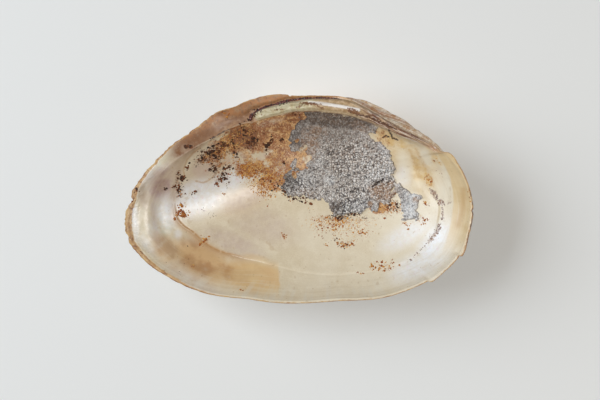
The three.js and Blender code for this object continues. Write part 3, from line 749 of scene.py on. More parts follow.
TOOTH_GLINT = [(32.4, 15.6), (33.9, 14.6), (35.2, 13.0)]
GROOVE_PATH = [
    (12.8, 22.6), (14.7, 21.7), (17.3, 21.0), (20.4, 19.9), (23.0, 18.7), (24.8, 17.9),
]
LOW_LINE = [(-38.4, -16.0), (-36.2, -18.0), (-33.2, -20.0), (-30.4, -21.4)]
PALLIAL_GROOVE = {"from": 192, "to": 226}
PALLIAL_THREAD = {"from": 222, "to": 238}


def union(x, y, spots, soft=0.5):
    """The strongest of several soft patches."""
    total = np.zeros(np.shape(x))
    for at, half, turn, strength in spots:
        total = np.maximum(total, strength * patch(x, y, at, half, turn, soft))
    return total


def nearest(x, y, paths):
    """Least distance to several lines, cut off at 4 mm."""
    return np.minimum(np.min([path_distance(x, y, path) for path in paths], axis=0), 4)


def side_of(x, y, points):
    """Distance to a line with its sign: positive on the right-hand side when walking along it."""
    best = np.full(np.shape(x), np.inf)
    signed = np.zeros(np.shape(x))
    for start, end in zip(points, points[1:]):
        far = stretch_distance(x, y, start, end)
        sign = np.sign((x - start[0]) * (end[1] - start[1]) - (y - start[1]) * (end[0] - start[0]))
        signed = np.where(far < best, sign * far, signed)
        best = np.minimum(best, far)
    return signed


def within(turn, run, soft=4):
    """1 for angles inside a run and 0 outside it, over a soft end at both sides."""
    rise = smooth(turn, run["from"] - soft, run["from"] + soft)
    return rise * (1 - smooth(turn, run["to"] - soft, run["to"] + soft))


def pearl_marks(a, r):
    """One value a vertex for each kind of marking on the pearly face, worked out in plan."""
    x, y = seen(inner_face(a, r))
    turn = np.mod(a, 360)
    edge = edge_radius(a)
    lip = bowl_radius(a)
    line = r - pallial_radius(a)
    on_plate = smooth(r - lip, 0.0, 0.1)
    v = plate_place(a, r)
    hinged = on_plate * hinge_share(a) * (1 - smooth(v, 1.0, 1.12))
    behind = smooth(turn, 76, 84) * (1 - smooth(turn, 164, 180))
    umbo = on_plate * (1 - hinged) * smooth(turn, 8, 14) * (1 - smooth(turn, 78, 90))
    wing = on_plate * behind * (1 - hinged)
    lip_line = bell(r - lip, 0.2) * smooth(turn, 30, 50) * (1 - smooth(turn, 112, 122))
    brown_line = bell(line + 0.1, 0.42) * within(turn, PALLIAL_GROOVE, 5)
    brown_band = bell(line - 0.5, 0.9) * within(turn, PALLIAL_GROOVE, 8)
    ragged_end = x + 0.3 * grain(x, y, 1.5, 3)
    blush = union(x, y, BLUSH, 0.45) * (1 - smooth(ragged_end, BLUSH_END - 0.3, BLUSH_END + 0.4))
    faint_thread = smooth(turn, 240, 246) * (1 - smooth(turn, 292, 300))
    band = side_of(x, y, AMBER_EDGE)
    front = smooth(around(a, 0), -34, -20) * (1 - smooth(around(a, 0), 13, 20))
    return {
        "inset": np.maximum(edge - r, 0),
        "rim": rim_width(a),
        "line": np.clip(line, -6, 6),
        "stain": union(x, y, STAINS) * (1 - 0.8 * on_plate),
        "deep": union(x, y, DEEP_STAINS) * (1 - on_plate),
        "bare": union(x, y, WINDOWS, 0.4),
        "grime": union(x, y, GRIME),
        "rust": union(x, y, RUST),
        "blush": blush,
        "mauve": union(x, y, MAUVE, 0.6) * (1 - hinged),
        "painted_highlight": union(x, y, PAINTED_HIGHLIGHTS, 0.7),
        "green": union(x, y, GREENS, 0.7),
        "yellow": union(x, y, YELLOWS),
        "tan": union(x, y, TAN_FIELD, 0.6),
        "amber": smooth(band, -0.25, 0.25) * front,
        "streak": bell(path_distance(x, y, AMBER_STREAK), 0.8),
        "hinged": hinged,
        "across": np.clip(v, -1, 3),
        "wing": wing,
        "umbo": umbo,
        "groove": nearest(x, y, [GROOVE_PATH]),
        "flakes": union(x, y, TOOTH_MARKS, 0.5),
        "white": nearest(x, y, [TOOTH_WHITE]),
        "glint": nearest(x, y, [TOOTH_GLINT]),
        "brown": brown_line,
        "tawny": brown_band,
        "earth": union(x, y, WING_BROWN, 0.6),
        "fold": bell(path_distance(x, y, WING_FOLD_SHADE), 0.8),
        "lobe": union(x, y, LIGHT_LOBES, 0.7),
        "low": nearest(x, y, [LOW_LINE]),
        "seam": lip_line,
        "thread": within(turn, PALLIAL_THREAD, 4) + 0.35 * faint_thread,
        "crack": nearest(x, y, CRACKS),
        "shade": bell(path_distance(x, y, WING_SHADE), 0.3),
        "dirt": union(x, y, FRONT_DIRT, 0.5),
        "furrow": nearest(x, y, [fold["path"] for fold in FRONT_FOLDS[:2]]),
        "border": nearest(x, y, PRINT_EDGES),
        "skin": np.zeros_like(x),
        "worn": np.zeros_like(x),
        "age": np.ones_like(x),
        "turn": turn / 360,
    }


# The marks of the pearly side that are distances: on the back they are far away
FAR_LINES = ("groove", "white", "glint", "crack", "low", "furrow", "border", "inset")


def skin_marks(a, age, points, names):
    """The same values for the back, where only the brown skin and its worn places count."""
    x, y = points[..., 0], points[..., 1]
    marks = {key: np.full(x.shape, 4.0 if key in FAR_LINES else 0.0) for key in names}
    beak_x, beak_y = plan(BEAK["turn"], BEAK["share"] * back_radius(np.float64(BEAK["turn"])))
    reach = np.hypot((x - beak_x) * 0.8, y - beak_y) + 8.0 * rough(x, y, 7, 4, 41)
    turn = np.mod(a, 360)
    loose = turn + 18.0 * rough(x, y, 9, 3, 43)
    chalky = smooth(turn, 3, 13) * (1 - smooth(loose, 76, 132)) * smooth(age, 0.74, 0.97)
    marks["worn"] = np.maximum(1 - smooth(reach, 10, 34), chalky)
    marks["skin"] = np.ones_like(x)
    marks["age"] = age
    marks["turn"] = turn / 360
    return marks


def valve_surface(shape):
    """Rings of the pearly face out from the deepest point, then of the back from the rim to the beak."""
    a = rim_angles(shape.columns)[None, :]
    floor_rows = np.arange(1, shape.floor_rows + 1)[:, None] / shape.floor_rows
    border_rows = np.arange(1, shape.border_rows + 1)[:, None] / shape.border_rows
    back_rows = np.arange(1, shape.back_rows)[:, None] / shape.back_rows
    basin = basin_radius(a) - BASIN_MARGIN
    floor_r = basin * np.sin(np.pi / 2 * floor_rows) ** 0.9
    border_r = basin + (edge_radius(a) - basin) * border_rows
    r = np.concatenate([floor_r, border_r])
    turns = np.broadcast_to(a, r.shape)
    inner = broken(inner_face(turns, r), turns, r / edge_radius(turns))
    inner_marks = pearl_marks(turns, r)
    age = np.broadcast_to(1 - back_rows**GROWTH_SPREAD, (len(back_rows), a.shape[1]))
    back_turns = np.broadcast_to(a, age.shape)
    phase = 2 * np.pi * GROWTH_RIDGE_COUNT * (1 - age) ** (1 / GROWTH_SPREAD)
    lines = 0.05 * grain(age * 90, back_turns * 0.02, 1.0, 51)
    lines = lines + 0.05 * rough(age * 30, back_turns * 0.05, 1.0, 2, 53)
    fade = smooth(age, 0.05, 0.8) * smooth(1 - age, 0, 0.02)
    ridge = (0.5 * shape.ridge_height / MM * np.cos(phase) + lines) * fade
    back = broken(growth_face(back_turns, age, ridge), back_turns, age)
    back_marks = skin_marks(back_turns, age, back, inner_marks)
    return inner, inner_marks, back, back_marks


class NodeSheet:
    """Makes a material's nodes with one short call each."""

    def __init__(self, name):
        self.material = bpy.data.materials.new(name)
        self.material.use_nodes = True
        self.tree = self.material.node_tree
        self.shader = self.tree.nodes["Principled BSDF"]
        place = self.tree.nodes.new("ShaderNodeTexCoord")
        inputs = {0: place.outputs["Object"], 1: (1 / MM,) * 3}
        self.mm = self.add("ShaderNodeVectorMath", inputs, operation="MULTIPLY")

    def put(self, socket, value):
        """Links an output to the socket, or sets the socket to a plain value."""
        if isinstance(value, bpy.types.NodeSocket):
            self.tree.links.new(value, socket)
        else:
            socket.default_value = value

    def add(self, kind, inputs=None, output=0, **settings):
        """Adds a node, links or sets its inputs, and gives back the wanted output."""
        made = self.tree.nodes.new(kind)
        for key, value in settings.items():
            setattr(made, key, value)
        for key, value in (inputs or {}).items():
            self.put(made.inputs[key], value)
        return made.outputs[output]

    def mark(self, name):
        """The value that the mesh holds under the name."""
        return self.add("ShaderNodeAttribute", output="Fac", attribute_name=name)

    def noise(self, scale, detail=3.0, roughness=0.55, distortion=0.0, place=None):
        """Noise from 0 to 1 with the number of features a millimetre."""
        inputs = {"Vector": place or self.mm, "Scale": scale, "Detail": detail}
        inputs.update({"Roughness": roughness, "Distortion": distortion})
        return self.add("ShaderNodeTexNoise", inputs, "Fac")

    def step(self, value, low, high, to_low=0.0, to_high=1.0):
        """A soft step of the value from low to high."""
        inputs = {"Value": value, "From Min": low, "From Max": high, "To Min": to_low, "To Max": to_high}
        return self.add("ShaderNodeMapRange", inputs, interpolation_type="SMOOTHSTEP")

    def shifted(self, scale, detail=3.0, roughness=0.55):
        """A second noise of the same kind, taken at another place."""
        place = self.add("ShaderNodeVectorMath", {0: self.mm, 1: (37.0, 11.0, 5.0)}, operation="ADD")
        return self.noise(scale, detail, roughness, place=place)

    def math(self, operation, one, two=0.0):
        """One sum on two numbers."""
        return self.add("ShaderNodeMath", {0: one, 1: two}, operation=operation)

    def plus(self, one, two):
        """Two numbers added."""
        return self.math("ADD", one, two)

    def minus(self, one, two):
        """The first number less the second."""
        return self.math("SUBTRACT", one, two)

    def unsigned(self, value):
        """A number without its sign."""
        return self.math("ABSOLUTE", value)

    def times(self, first, *others):
        """All the numbers multiplied."""
        for other in others:
            first = self.math("MULTIPLY", first, other)
        return first

    def most(self, first, *others):
        """The greatest of the numbers."""
        for other in others:
            first = self.math("MAXIMUM", first, other)
        return first

    def lift(self, name, amount, cell, detail=4.0):
        """A mark with noise added, so that its borders come out ragged."""
        return self.plus(self.mark(name), self.swing(self.noise(cell, detail, 0.65), amount))

    def ragged(self, name, amount, cell, detail=5.0):
        """As lift, but with no noise where the mark is nothing."""
        wanted = self.step(self.mark(name), 0.0, 0.25)
        swing = self.swing(self.noise(cell, detail, 0.65), amount)
        return self.plus(self.mark(name), self.times(swing, wanted))

    def swing(self, value, amount):
        """A noise moved to swing about zero, by the amount in all."""
        return self.times(self.minus(value, 0.5), amount)

    def pair(self, x, y):
        """A place to read a noise at, from two numbers."""
        return self.add("ShaderNodeCombineXYZ", {"X": x, "Y": y})

    def over(self, below, share, above, strength=1.0):
        """Lays a colour over another by a share."""
        return self.mix(share if strength == 1.0 else self.times(share, strength), below, above)

    def mix(self, share, one, two):
        """Blends two colours."""
        inputs = {0: share, 6: colour(one), 7: colour(two)}
        return self.add("ShaderNodeMix", inputs, 2, data_type="RGBA")

    def blend(self, share, one, two):
        """Blends two numbers."""
        return self.add("ShaderNodeMapRange", {"Value": share, "To Min": one, "To Max": two})

    def bump(self, height, strength, distance, normal=None):
        """Tilts the normal by a height, on top of an earlier tilt."""
        inputs = {"Height": height, "Strength": strength, "Distance": distance}
        if normal is not None:
            inputs["Normal"] = normal
        return self.add("ShaderNodeBump", inputs)

    def finish(self, base, roughness, normal, uniform=()):
        """Links the base colour, roughness and normal, and sets the sockets that are uniform."""
        wanted = {"Base Color": base, "Roughness": roughness, "Normal": normal, **dict(uniform)}
        for key, value in wanted.items():
            self.put(self.shader.inputs[key], value)
        return self.material


def colour(value):
    """A socket as it is, or a tuple of sRGB values from 0 to 255 as linear red, green, blue, alpha."""
    if isinstance(value, bpy.types.NodeSocket):
        return value
    share = np.array(value, float) / 255
    linear = np.where(share <= 0.04045, share / 12.92, ((share + 0.055) / 1.055) ** 2.4)
    return (*[float(c) for c in linear], 1.0)


def pearl_layers(sheet, finish):
    """The bare pearl's colours: cream with lilac and green places and painted white highlights, tan and
    yellow at the front.
    """
    mark, mix, step, noise, over = sheet.mark, sheet.mix, sheet.step, sheet.noise, sheet.over
    times = sheet.times
    rays = noise(1.0, 3, 0.55, place=sheet.pair(times(mark("turn"), 150.0), times(mark("inset"), 0.14)))
    cloud = step(noise(0.55, 5, 0.7), 0.35, 0.65)
    base = mix(noise(0.09, 2), tuple(finish.pearl), (212, 196, 166))
    base = over(base, step(noise(0.4, 4, 0.6), 0.4, 0.75), (230, 217, 190), 0.6)
    base = over(base, step(noise(0.055, 2), 0.45, 0.7), (230, 219, 196), 0.5)
    tan = mix(step(noise(0.35, 4), 0.35, 0.65), (216, 178, 118), (236, 210, 162))
    base = over(base, mark("tan"), tan, 0.95)
    base = over(base, mark("lobe"), (240, 230, 208), 0.75)
    base = over(base, step(noise(3.2, 3, 0.6), 0.45, 0.6), (236, 226, 204), 0.2)
    mauve = mix(noise(0.25, 3), (152, 120, 112), (192, 164, 164))
    base = over(base, times(mark("mauve"), sheet.blend(cloud, 0.6, 1.0)), mauve, 0.9)
    base = over(base, times(mark("green"), cloud), (206, 212, 194), 0.6)
    # Painted highlights: near white over the pearl, with a faint pink where the noise allows
    base = over(base, times(mark("painted_highlight"), sheet.blend(cloud, 0.55, 1.0)), (238, 241, 246), 0.85)
    base = over(base, times(mark("painted_highlight"), step(noise(0.9, 4, 0.65), 0.55, 0.68)), (232, 206, 212), 0.4)
    back_blush = mix(step(noise(0.2, 4), 0.38, 0.58), (184, 138, 90), (206, 168, 118))
    blush = mix(step(noise(0.1, 2), 0.35, 0.6), (214, 178, 130), (222, 194, 146))
    blush = mix(step(mark("turn"), 0.6, 0.68), back_blush, blush)
    base = over(base, times(mark("blush"), step(noise(0.3, 2), 0.0, 0.4)), blush, 0.9)
    margin = times(step(mark("inset"), 7.0, 1.5), step(rays, 0.45, 0.65))
    base = over(base, margin, (220, 212, 194), 0.45)
    base = over(base, mark("amber"), mix(rays, (206, 174, 120), (228, 204, 158)), 0.85)
    base = over(base, times(mark("streak"), mark("amber")), (190, 148, 92), 0.5)
    base = over(base, step(sheet.ragged("yellow", 1.6, 0.5), 0.25, 1.0), (214, 174, 98), 0.7)
    grown = noise(1.0, 3, 0.6, place=sheet.pair(times(mark("turn"), 14.0), times(mark("inset"), 1.6)))
    base = over(base, times(step(grown, 0.54, 0.64), step(mark("inset"), 12.0, 3.0)), (232, 222, 200), 0.22)
    base = over(base, times(step(grown, 0.46, 0.38), step(mark("inset"), 12.0, 3.0)), (190, 166, 130), 0.15)
    base = over(base, step(noise(0.42, 2, 0.5), 0.66, 0.74), (186, 158, 118), 0.35)
    furrow = step(sheet.lift("furrow", 2.2, 0.9), 0.6, 0.0)
    base = over(base, furrow, (200, 158, 98), 0.45)
    base = over(base, step(sheet.lift("border", 0.3, 1.2), 0.36, 0.05), (186, 148, 106), 0.65)
    return base


def wing_layers(sheet, base):
    """The wing behind the hinge: brown tan, orange brown by its outer edge, earthy at its left end."""
    mark, mix, step, noise, over = sheet.mark, sheet.mix, sheet.step, sheet.noise, sheet.over
    times = sheet.times
    near_end = step(mark("turn"), 0.492, 0.46)
    wing = mix(step(noise(0.25, 4, 0.65), 0.38, 0.62), (130, 84, 48), (168, 124, 84))
    wing = over(wing, step(noise(0.6, 4, 0.6), 0.54, 0.66), (200, 168, 138), 0.6)
    edge = times(step(mark("inset"), 5.4, 0.8), step(noise(0.8, 5, 0.75), 0.42, 0.52), near_end)
    wing = over(wing, edge, (176, 110, 50), 0.95)
    wing = over(wing, times(step(noise(1.5, 4, 0.7), 0.54, 0.6), near_end), (126, 76, 40), 0.7)
    base = over(base, mark("wing"), mix(near_end, base, wing), 0.9)
    earth = times(mark("earth"), sheet.blend(step(noise(0.8, 4, 0.7), 0.3, 0.7), 0.65, 1.0))
    base = over(base, earth, mix(noise(0.5, 4), (106, 62, 28), (144, 96, 52)), 0.9)
    # Painted shade: a tan tint that dims the fold where the wing's lip runs down into the bowl
    base = over(base, mark("fold"), (172, 144, 118), 0.5)
    shade = step(sheet.ragged("shade", 2.4, 1.4), 0.62, 0.9)
    return over(base, shade, (66, 52, 46), 0.9)


def hinge_layers(sheet, base):
    """The umbo's strip and the hinge plate: cream, then red-brown strands towards the front."""
    mark, mix, step, noise, over = sheet.mark, sheet.mix, sheet.step, sheet.noise, sheet.over
    times = sheet.times
    fine = sheet.pair(times(mark("turn"), 110.0), times(mark("across"), 5.0))
    long = sheet.pair(times(mark("turn"), 40.0), times(mark("across"), 4.6))
    longer = sheet.pair(times(mark("turn"), 26.0), sheet.plus(times(mark("across"), 5.6), 7.0))
    strands = noise(1.0, 4, 0.65, place=fine)
    streaks = noise(1.0, 5, 0.75, 0.4, place=long)
    threads = noise(1.0, 4, 0.7, 0.2, place=longer)
    forward = step(mark("turn"), 0.19, 0.13)
    beak = mix(step(strands, 0.4, 0.6), (214, 172, 130), (246, 226, 202))
    beak = over(beak, step(streaks, 0.49, 0.56), (184, 120, 66), 0.75)
    beak = over(beak, times(step(threads, 0.49, 0.54), forward), (140, 84, 58), 0.9)
    base = over(base, mark("umbo"), beak, 0.95)
    plate = mix(step(strands, 0.35, 0.65), (196, 184, 144), (224, 214, 184))
    tan_plate = mix(step(strands, 0.38, 0.62), (168, 132, 90), (212, 184, 146))
    plate = mix(step(mark("turn"), 0.29, 0.25), plate, tan_plate)
    plate = over(plate, step(noise(0.9, 4, 0.7), 0.5, 0.6), (180, 150, 98), 0.5)
    fibres = mix(step(streaks, 0.44, 0.56), (118, 72, 44), (200, 166, 128))
    fibres = over(fibres, step(threads, 0.53, 0.57), (104, 58, 38), 0.85)
    fibres = over(fibres, step(threads, 0.46, 0.41), (238, 226, 212), 0.8)
    plate = mix(forward, plate, fibres)
    plate = over(plate, step(sheet.lift("across", 0.3, 1.0), 0.2, 0.02), (232, 214, 178), 0.6)
    base = over(base, mark("hinged"), plate)
    base = over(base, step(sheet.lift("white", 0.3, 1.0), 0.6, 0.2), (246, 241, 234), 0.9)
    base = over(base, step(sheet.lift("glint", 0.3, 1.5), 0.4, 0.1), (240, 234, 226), 0.9)
    groove = step(sheet.lift("groove", 2.4, 1.9, 5.0), 0.34, 0.16)
    base = over(base, groove, mix(noise(2.0, 3), (60, 34, 22), (110, 66, 40)), 0.95)
    flakes = step(sheet.ragged("flakes", 4.4, 2.2), 0.6, 0.72)
    base = over(base, flakes, mix(noise(2.0, 3), (80, 46, 26), (158, 104, 58)), 0.95)
    seam = times(mark("seam"), step(noise(0.8, 3), 0.3, 0.45))
    return over(base, seam, (124, 72, 34), 0.85), strands


def stain_layers(sheet, base):
    """Ochre stains with an amber grit in them, dark brown places, and the brown lines of the pearl."""
    mark, mix, step, noise, over = sheet.mark, sheet.mix, sheet.step, sheet.noise, sheet.over
    times = sheet.times
    soft = step(sheet.ragged("stain", 2.6, 0.5), 0.3, 0.8)
    soft = times(soft, step(sheet.ragged("bare", 2.2, 0.7), 0.85, 0.25))
    ochre = mix(step(noise(0.35, 6, 0.75), 0.44, 0.56), (158, 92, 36), (214, 162, 98))
    base = over(base, soft, ochre, 0.9)
    base = over(base, times(mark("grime"), step(noise(1.1, 4, 0.7), 0.46, 0.6)), (168, 118, 70), 0.6)
    grit = times(soft, step(noise(2.4, 4, 0.7), 0.51, 0.56))
    base = over(base, grit, (146, 80, 28), 0.7)
    pale = times(soft, step(sheet.shifted(2.4, 4, 0.7), 0.54, 0.6))
    base = over(base, pale, (240, 208, 156), 0.65)
    base = over(base, times(soft, step(sheet.shifted(2.9, 2, 0.5), 0.63, 0.67)), (92, 46, 18), 0.8)
    deep = step(sheet.ragged("deep", 3.6, 0.8), 0.55, 0.95)
    base = over(base, deep, mix(step(noise(1.6, 4, 0.7), 0.44, 0.56), (84, 42, 20), (150, 92, 48)), 0.85)
    base = over(base, times(mark("bare"), step(noise(0.5, 3), 0.3, 0.6)), (202, 174, 160), 0.65)
    base = over(base, mark("tawny"), (196, 156, 112), 0.6)
    base = over(base, times(mark("brown"), step(noise(1.0, 4, 0.7), 0.3, 0.5)), (170, 126, 76), 0.85)
    thread = step(sheet.plus(sheet.unsigned(mark("line")), sheet.swing(noise(1.6, 4, 0.7), 0.7)), 0.2, 0.02)
    base = over(base, times(thread, mark("thread")), (240, 228, 206), 0.55)
    base = over(base, step(sheet.lift("low", 0.6, 1.2), 0.3, 0.05), (206, 164, 98), 0.7)
    dirt = step(sheet.ragged("dirt", 3.4, 1.7), 0.5, 0.7)
    base = over(base, dirt, mix(step(noise(2.2, 4, 0.7), 0.42, 0.58), (128, 96, 82), (204, 184, 164)), 0.8)
    crack = step(sheet.lift("crack", 1.1, 2.2), 0.3, 0.14)
    return over(base, crack, (62, 24, 6), 0.98), soft, deep


def speck_layers(sheet, base):
    """Small flat specks, rust-coloured and dark, in the places where they lie."""
    mark, mix, step, noise, over = sheet.mark, sheet.mix, sheet.step, sheet.noise, sheet.over
    times, plus = sheet.times, sheet.plus
    flecks = step(plus(times(mark("rust"), 0.17), noise(2.6, 3, 0.65)), 0.66, 0.7)
    flecks = times(flecks, step(mark("rust"), 0.02, 0.15))
    base = over(base, flecks, mix(step(noise(0.9, 2), 0.4, 0.6), (176, 96, 26), (222, 168, 80)), 0.85)
    specks = step(plus(times(mark("grime"), 0.16), sheet.shifted(2.3, 4, 0.65)), 0.67, 0.71)
    specks = times(specks, step(mark("grime"), 0.02, 0.12))
    base = over(base, specks, mix(noise(0.9, 2), (54, 38, 28), (124, 84, 50)), 0.9)
    faint = step(noise(1.3, 2, 0.5), 0.7, 0.74)
    return over(base, faint, (180, 152, 108), 0.5), flecks, specks


def rim_layers(sheet, base):
    """The brown edge: horny and blotched where it is wide, a thin dark line elsewhere."""
    mark, mix, step, noise, over = sheet.mark, sheet.mix, sheet.step, sheet.noise, sheet.over
    ragged = sheet.lift("inset", 0.8, 0.9)
    wide = step(sheet.minus(ragged, mark("rim")), 0.1, -0.12)
    horn = mix(step(noise(0.7, 4, 0.65), 0.35, 0.65), (180, 132, 80), (212, 176, 126))
    horn = over(horn, step(noise(0.9, 5, 0.7), 0.52, 0.62), (128, 74, 34), 0.9)
    base = over(base, wide, horn, 0.9)
    outer = sheet.times(step(ragged, 0.34, 0.08), step(mark("rim"), 0.15, 0.6, 0.35, 1.0))
    base = over(base, outer, mix(step(noise(0.3, 3), 0.4, 0.62), (204, 166, 96), (138, 82, 34)), 0.9)
    dark_stretch = sheet.times(step(mark("turn"), 0.92, 0.945), step(mark("turn"), 0.99, 0.975))
    dark_line = sheet.times(dark_stretch, step(ragged, 0.5, 0.25), step(noise(0.6, 4, 0.7), 0.4, 0.52))
    return over(base, dark_line, (84, 54, 34), 0.85), wide


def skin_layers(sheet):
    """The back: growth lines in a dark brown skin, worn to chalky shell about the beak."""
    mark, mix, step, noise, over = sheet.mark, sheet.mix, sheet.step, sheet.noise, sheet.over
    growth = sheet.pair(sheet.times(mark("age"), 46.0), sheet.times(mark("turn"), 3.0))
    lines = noise(1.0, 3, 0.6, place=growth)
    skin = mix(step(lines, 0.3, 0.7), (54, 38, 22), (106, 82, 44))
    skin = over(skin, step(noise(0.15, 4, 0.6), 0.4, 0.7), (122, 98, 52))
    chalk = mix(step(noise(0.5, 5, 0.65), 0.36, 0.58), (216, 182, 140), (250, 236, 214))
    chalk = over(chalk, step(noise(0.8, 5, 0.75, 0.6), 0.52, 0.6), (196, 132, 72), 0.7)
    chalk = over(chalk, step(lines, 0.5, 0.56), (150, 92, 58), 0.65)
    worn = step(sheet.lift("worn", 0.8, 0.9, 6.0), 0.36, 0.62)
    return mix(worn, skin, chalk), worn, lines


def valve_material(finish):
    """Cream mother-of-pearl with stains and specks inside, and a brown skin worn pale at the beak."""
    sheet = NodeSheet("pearl_and_skin")
    mark, step, noise, times = sheet.mark, sheet.step, sheet.noise, sheet.times
    base = pearl_layers(sheet, finish)
    base = wing_layers(sheet, base)
    base, strands = hinge_layers(sheet, base)
    base, soft, deep = stain_layers(sheet, base)
    base, flecks, specks = speck_layers(sheet, base)
    base, wide = rim_layers(sheet, base)
    skin, worn, lines = skin_layers(sheet)
    base = sheet.mix(mark("skin"), base, skin)

    dull = sheet.most(soft, deep, flecks, mark("hinged"), mark("umbo"), mark("wing"), wide, mark("earth"))
    polish = finish.pearl_roughness
    satin = sheet.blend(step(noise(0.8, 4, 0.65), 0.3, 0.7), polish, polish + 0.12)
    inner_rough = sheet.blend(dull, satin, 0.58)
    roughness = sheet.blend(mark("skin"), inner_rough, sheet.blend(worn, 0.5, 0.75))
    normal = sheet.bump(noise(1.6, 4, 0.6), 0.12, 0.0001)
    normal = sheet.bump(sheet.most(specks, flecks, deep), 0.5, 0.00012, normal)
    normal = sheet.bump(times(soft, noise(2.6, 4, 0.7)), 0.5, 0.0002, normal)
    normal = sheet.bump(times(strands, sheet.most(mark("hinged"), mark("umbo"))), 0.7, 0.0003, normal)
    crinkle = noise(1.0, 3, 0.6, place=sheet.pair(times(mark("turn"), 260.0), times(mark("inset"), 0.5)))
    near_edge = times(step(mark("inset"), 5.0, 1.0), step(mark("rim"), 0.6, 1.2))
    normal = sheet.bump(times(crinkle, near_edge), 0.8, 0.0003, normal)
    normal = sheet.bump(times(lines, mark("skin")), 0.6, 0.0002, normal)
    return sheet.finish(base, roughness, normal, {"IOR": 1.6, "Coat Weight": 0.15, "Coat Roughness": 0.2})


CRUST_BARE = [  # places inside the crust's edge where the pearl shows
    ((24.9, -1.6), (1.5, 2.2), -10, 1.0), ((24.2, 2.2), (0.3, 1.4), -35, 0.7),
    ((-1.2, 6.0), (0.7, 1.1), 20, 0.9), ((-0.9, 14.6), (1.2, 0.6), 30, 0.6),
    ((1.0, 12.6), (1.6, 1.0), 40, 0.62),
]
CRUST_CRACK = [(19.0, 3.0), (20.2, 3.9), (21.8, 4.9)]
CRUST_PALE = [
    ((4.6, 10.6), (2.0, 3.2), 40, 0.5), ((8.0, 4.6), (1.4, 1.2), 30, 1.0),
    ((1.8, 16.0), (1.4, 1.2), 0, 0.55), ((29.2, -3.2), (2.0, 2.6), 0, 1.0),
    # The place at (29.8, 0.6) is partly pale crust and partly painted highlight along the top of the right
    # lobe
    ((29.8, 0.6), (2.0, 1.0), -20, 0.8), ((15.5, 7.6), (5.0, 1.6), 30, 0.3),
    ((23.2, 11.4), (1.6, 3.4), 30, 0.4), ((20.4, 6.2), (4.4, 2.2), 30, 0.5),
]
CRUST_COARSE = [
    ((20.6, 7.4), (5.6, 4.6), 20, 1.0), ((13.5, 9.5), (8.5, 5.5), 0, 0.75),
    ((11.4, -2.8), (3.5, 1.8), 0, 1.0), ((15.0, 0.8), (7.0, 3.0), 0, 0.8),
    ((-0.6, 2.8), (5.0, 2.4), -16, 0.8), ((28.8, -3.4), (2.4, 2.6), 0, 0.3),
]
CRUST_SHADE = [
    ((2.6, 14.6), (2.4, 4.4), 10, 0.35),
    ((9, 20.6), (13, 2.6), -4, 1.0), ((-0.2, 16.4), (3.0, 3.8), 0, 0.8), ((-3.0, 4.4), (2.2, 2.6), 20, 0.8),
    ((7.6, 17.4), (8.0, 2.4), -6, 0.45), ((9.4, -3.0), (1.6, 2.2), 0, 0.8),
]
CRUST_BLUE = [
    ((15.8, -2.4), (4.6, 1.8), 0, 1.0), ((28.0, -0.6), (2.0, 3.6), 0, 0.9), ((1.0, 4.2), (4.2, 2.6), 20, 0.8),
    ((2.8, 8.4), (1.6, 1.6), 0, 0.7), ((22.4, 13.0), (2.4, 1.6), -40, 0.6), ((0.2, 16.0), (2.4, 3.2), 0, 0.5),
]
CRUST_BROWN = [
    ((2.6, 13.6), (3.0, 5.0), 0, 0.8), ((1.6, 1.2), (2.8, 1.6), 0, 0.5),
    ((21.6, 1.6), (3.6, 2.6), -10, 1.0), ((23.4, 3.6), (1.6, 1.0), 30, 0.8),
    ((14.5, 11.0), (10, 7), 0, 0.42), ((4.6, 17.4), (3.2, 1.6), 0, 0.7),
    ((16.2, 18.4), (3.6, 1.6), -14, 0.6), ((30.2, -0.4), (1.0, 1.0), 0, 0.8),
    ((18.4, -1.6), (0.7, 0.9), 0, 1.0), ((9.4, 20.6), (9, 1.6), -6, 0.4),
    ((1.2, 14.0), (2.6, 1.4), 20, 0.6),
]
PEBBLE = {"small": 0.47, "large": 0.7}  # millimetres from one pebble to the next
CRUST_MARGIN = 2.2  # how far the crust's grid runs on, sunk under the pearl
CRUST_SUNK = 0.15  # how deep it is sunk there
NORMAL_STEP = 0.25  # how far apart the points lie that give the pearl's slope
CRUST_UNDERSIDE = -0.3
CRUST_LIP = 0.8  # the share of the bowl past which the grid is drawn in, so that it stays under the lip


def crust_cover(x, y):
    """How thick the crust is, 0 to 1: inside its ragged edge, thinner over the bare patches."""
    fringe = 0.6 + 0.5 * smooth(-x, -5, 0) + 0.3 * (1 - smooth(y, -5, 0))
    ragged = fringe * rough(x, y, 1.5, 3, 61) + 0.35 * grain(x, y, 0.55, 67)
    inside = smooth(depth_inside(x, y, CRUST_OUTLINE) + ragged, -0.1, 0.25)
    bare = union(x, y, CRUST_BARE, 0.35)
    holes = smooth(bare + 0.45 * rough(x, y, 0.9, 3, 71), 0.45, 0.62)
    return inside * (1 - holes)


def crust_pebbles(x, y):
    """The crust's grit: for each place how domed its pebble is, how open the gap, and the pebble's tone."""
    warp_x = x + 0.16 * grain(x, y, 0.6, 82)
    warp_y = y + 0.16 * grain(x, y, 0.6, 84)
    coarse = union(x, y, CRUST_COARSE, 0.6)
    large = coarse + 0.3 * grain(x, y, 1.8, 85) > 0.5
    layers = [pebbles(warp_x, warp_y, PEBBLE[key], seed) for key, seed in (("large", 86), ("small", 96))]
    near, gap, tone = [np.where(large, first, second) for first, second in zip(*layers)]
    dome = np.clip(1 - near**2 / 0.6, 0, 1)
    return {"dome": dome, "gap": 1 - smooth(gap, 0.03, 0.26), "tone": tone, "coarse": coarse}


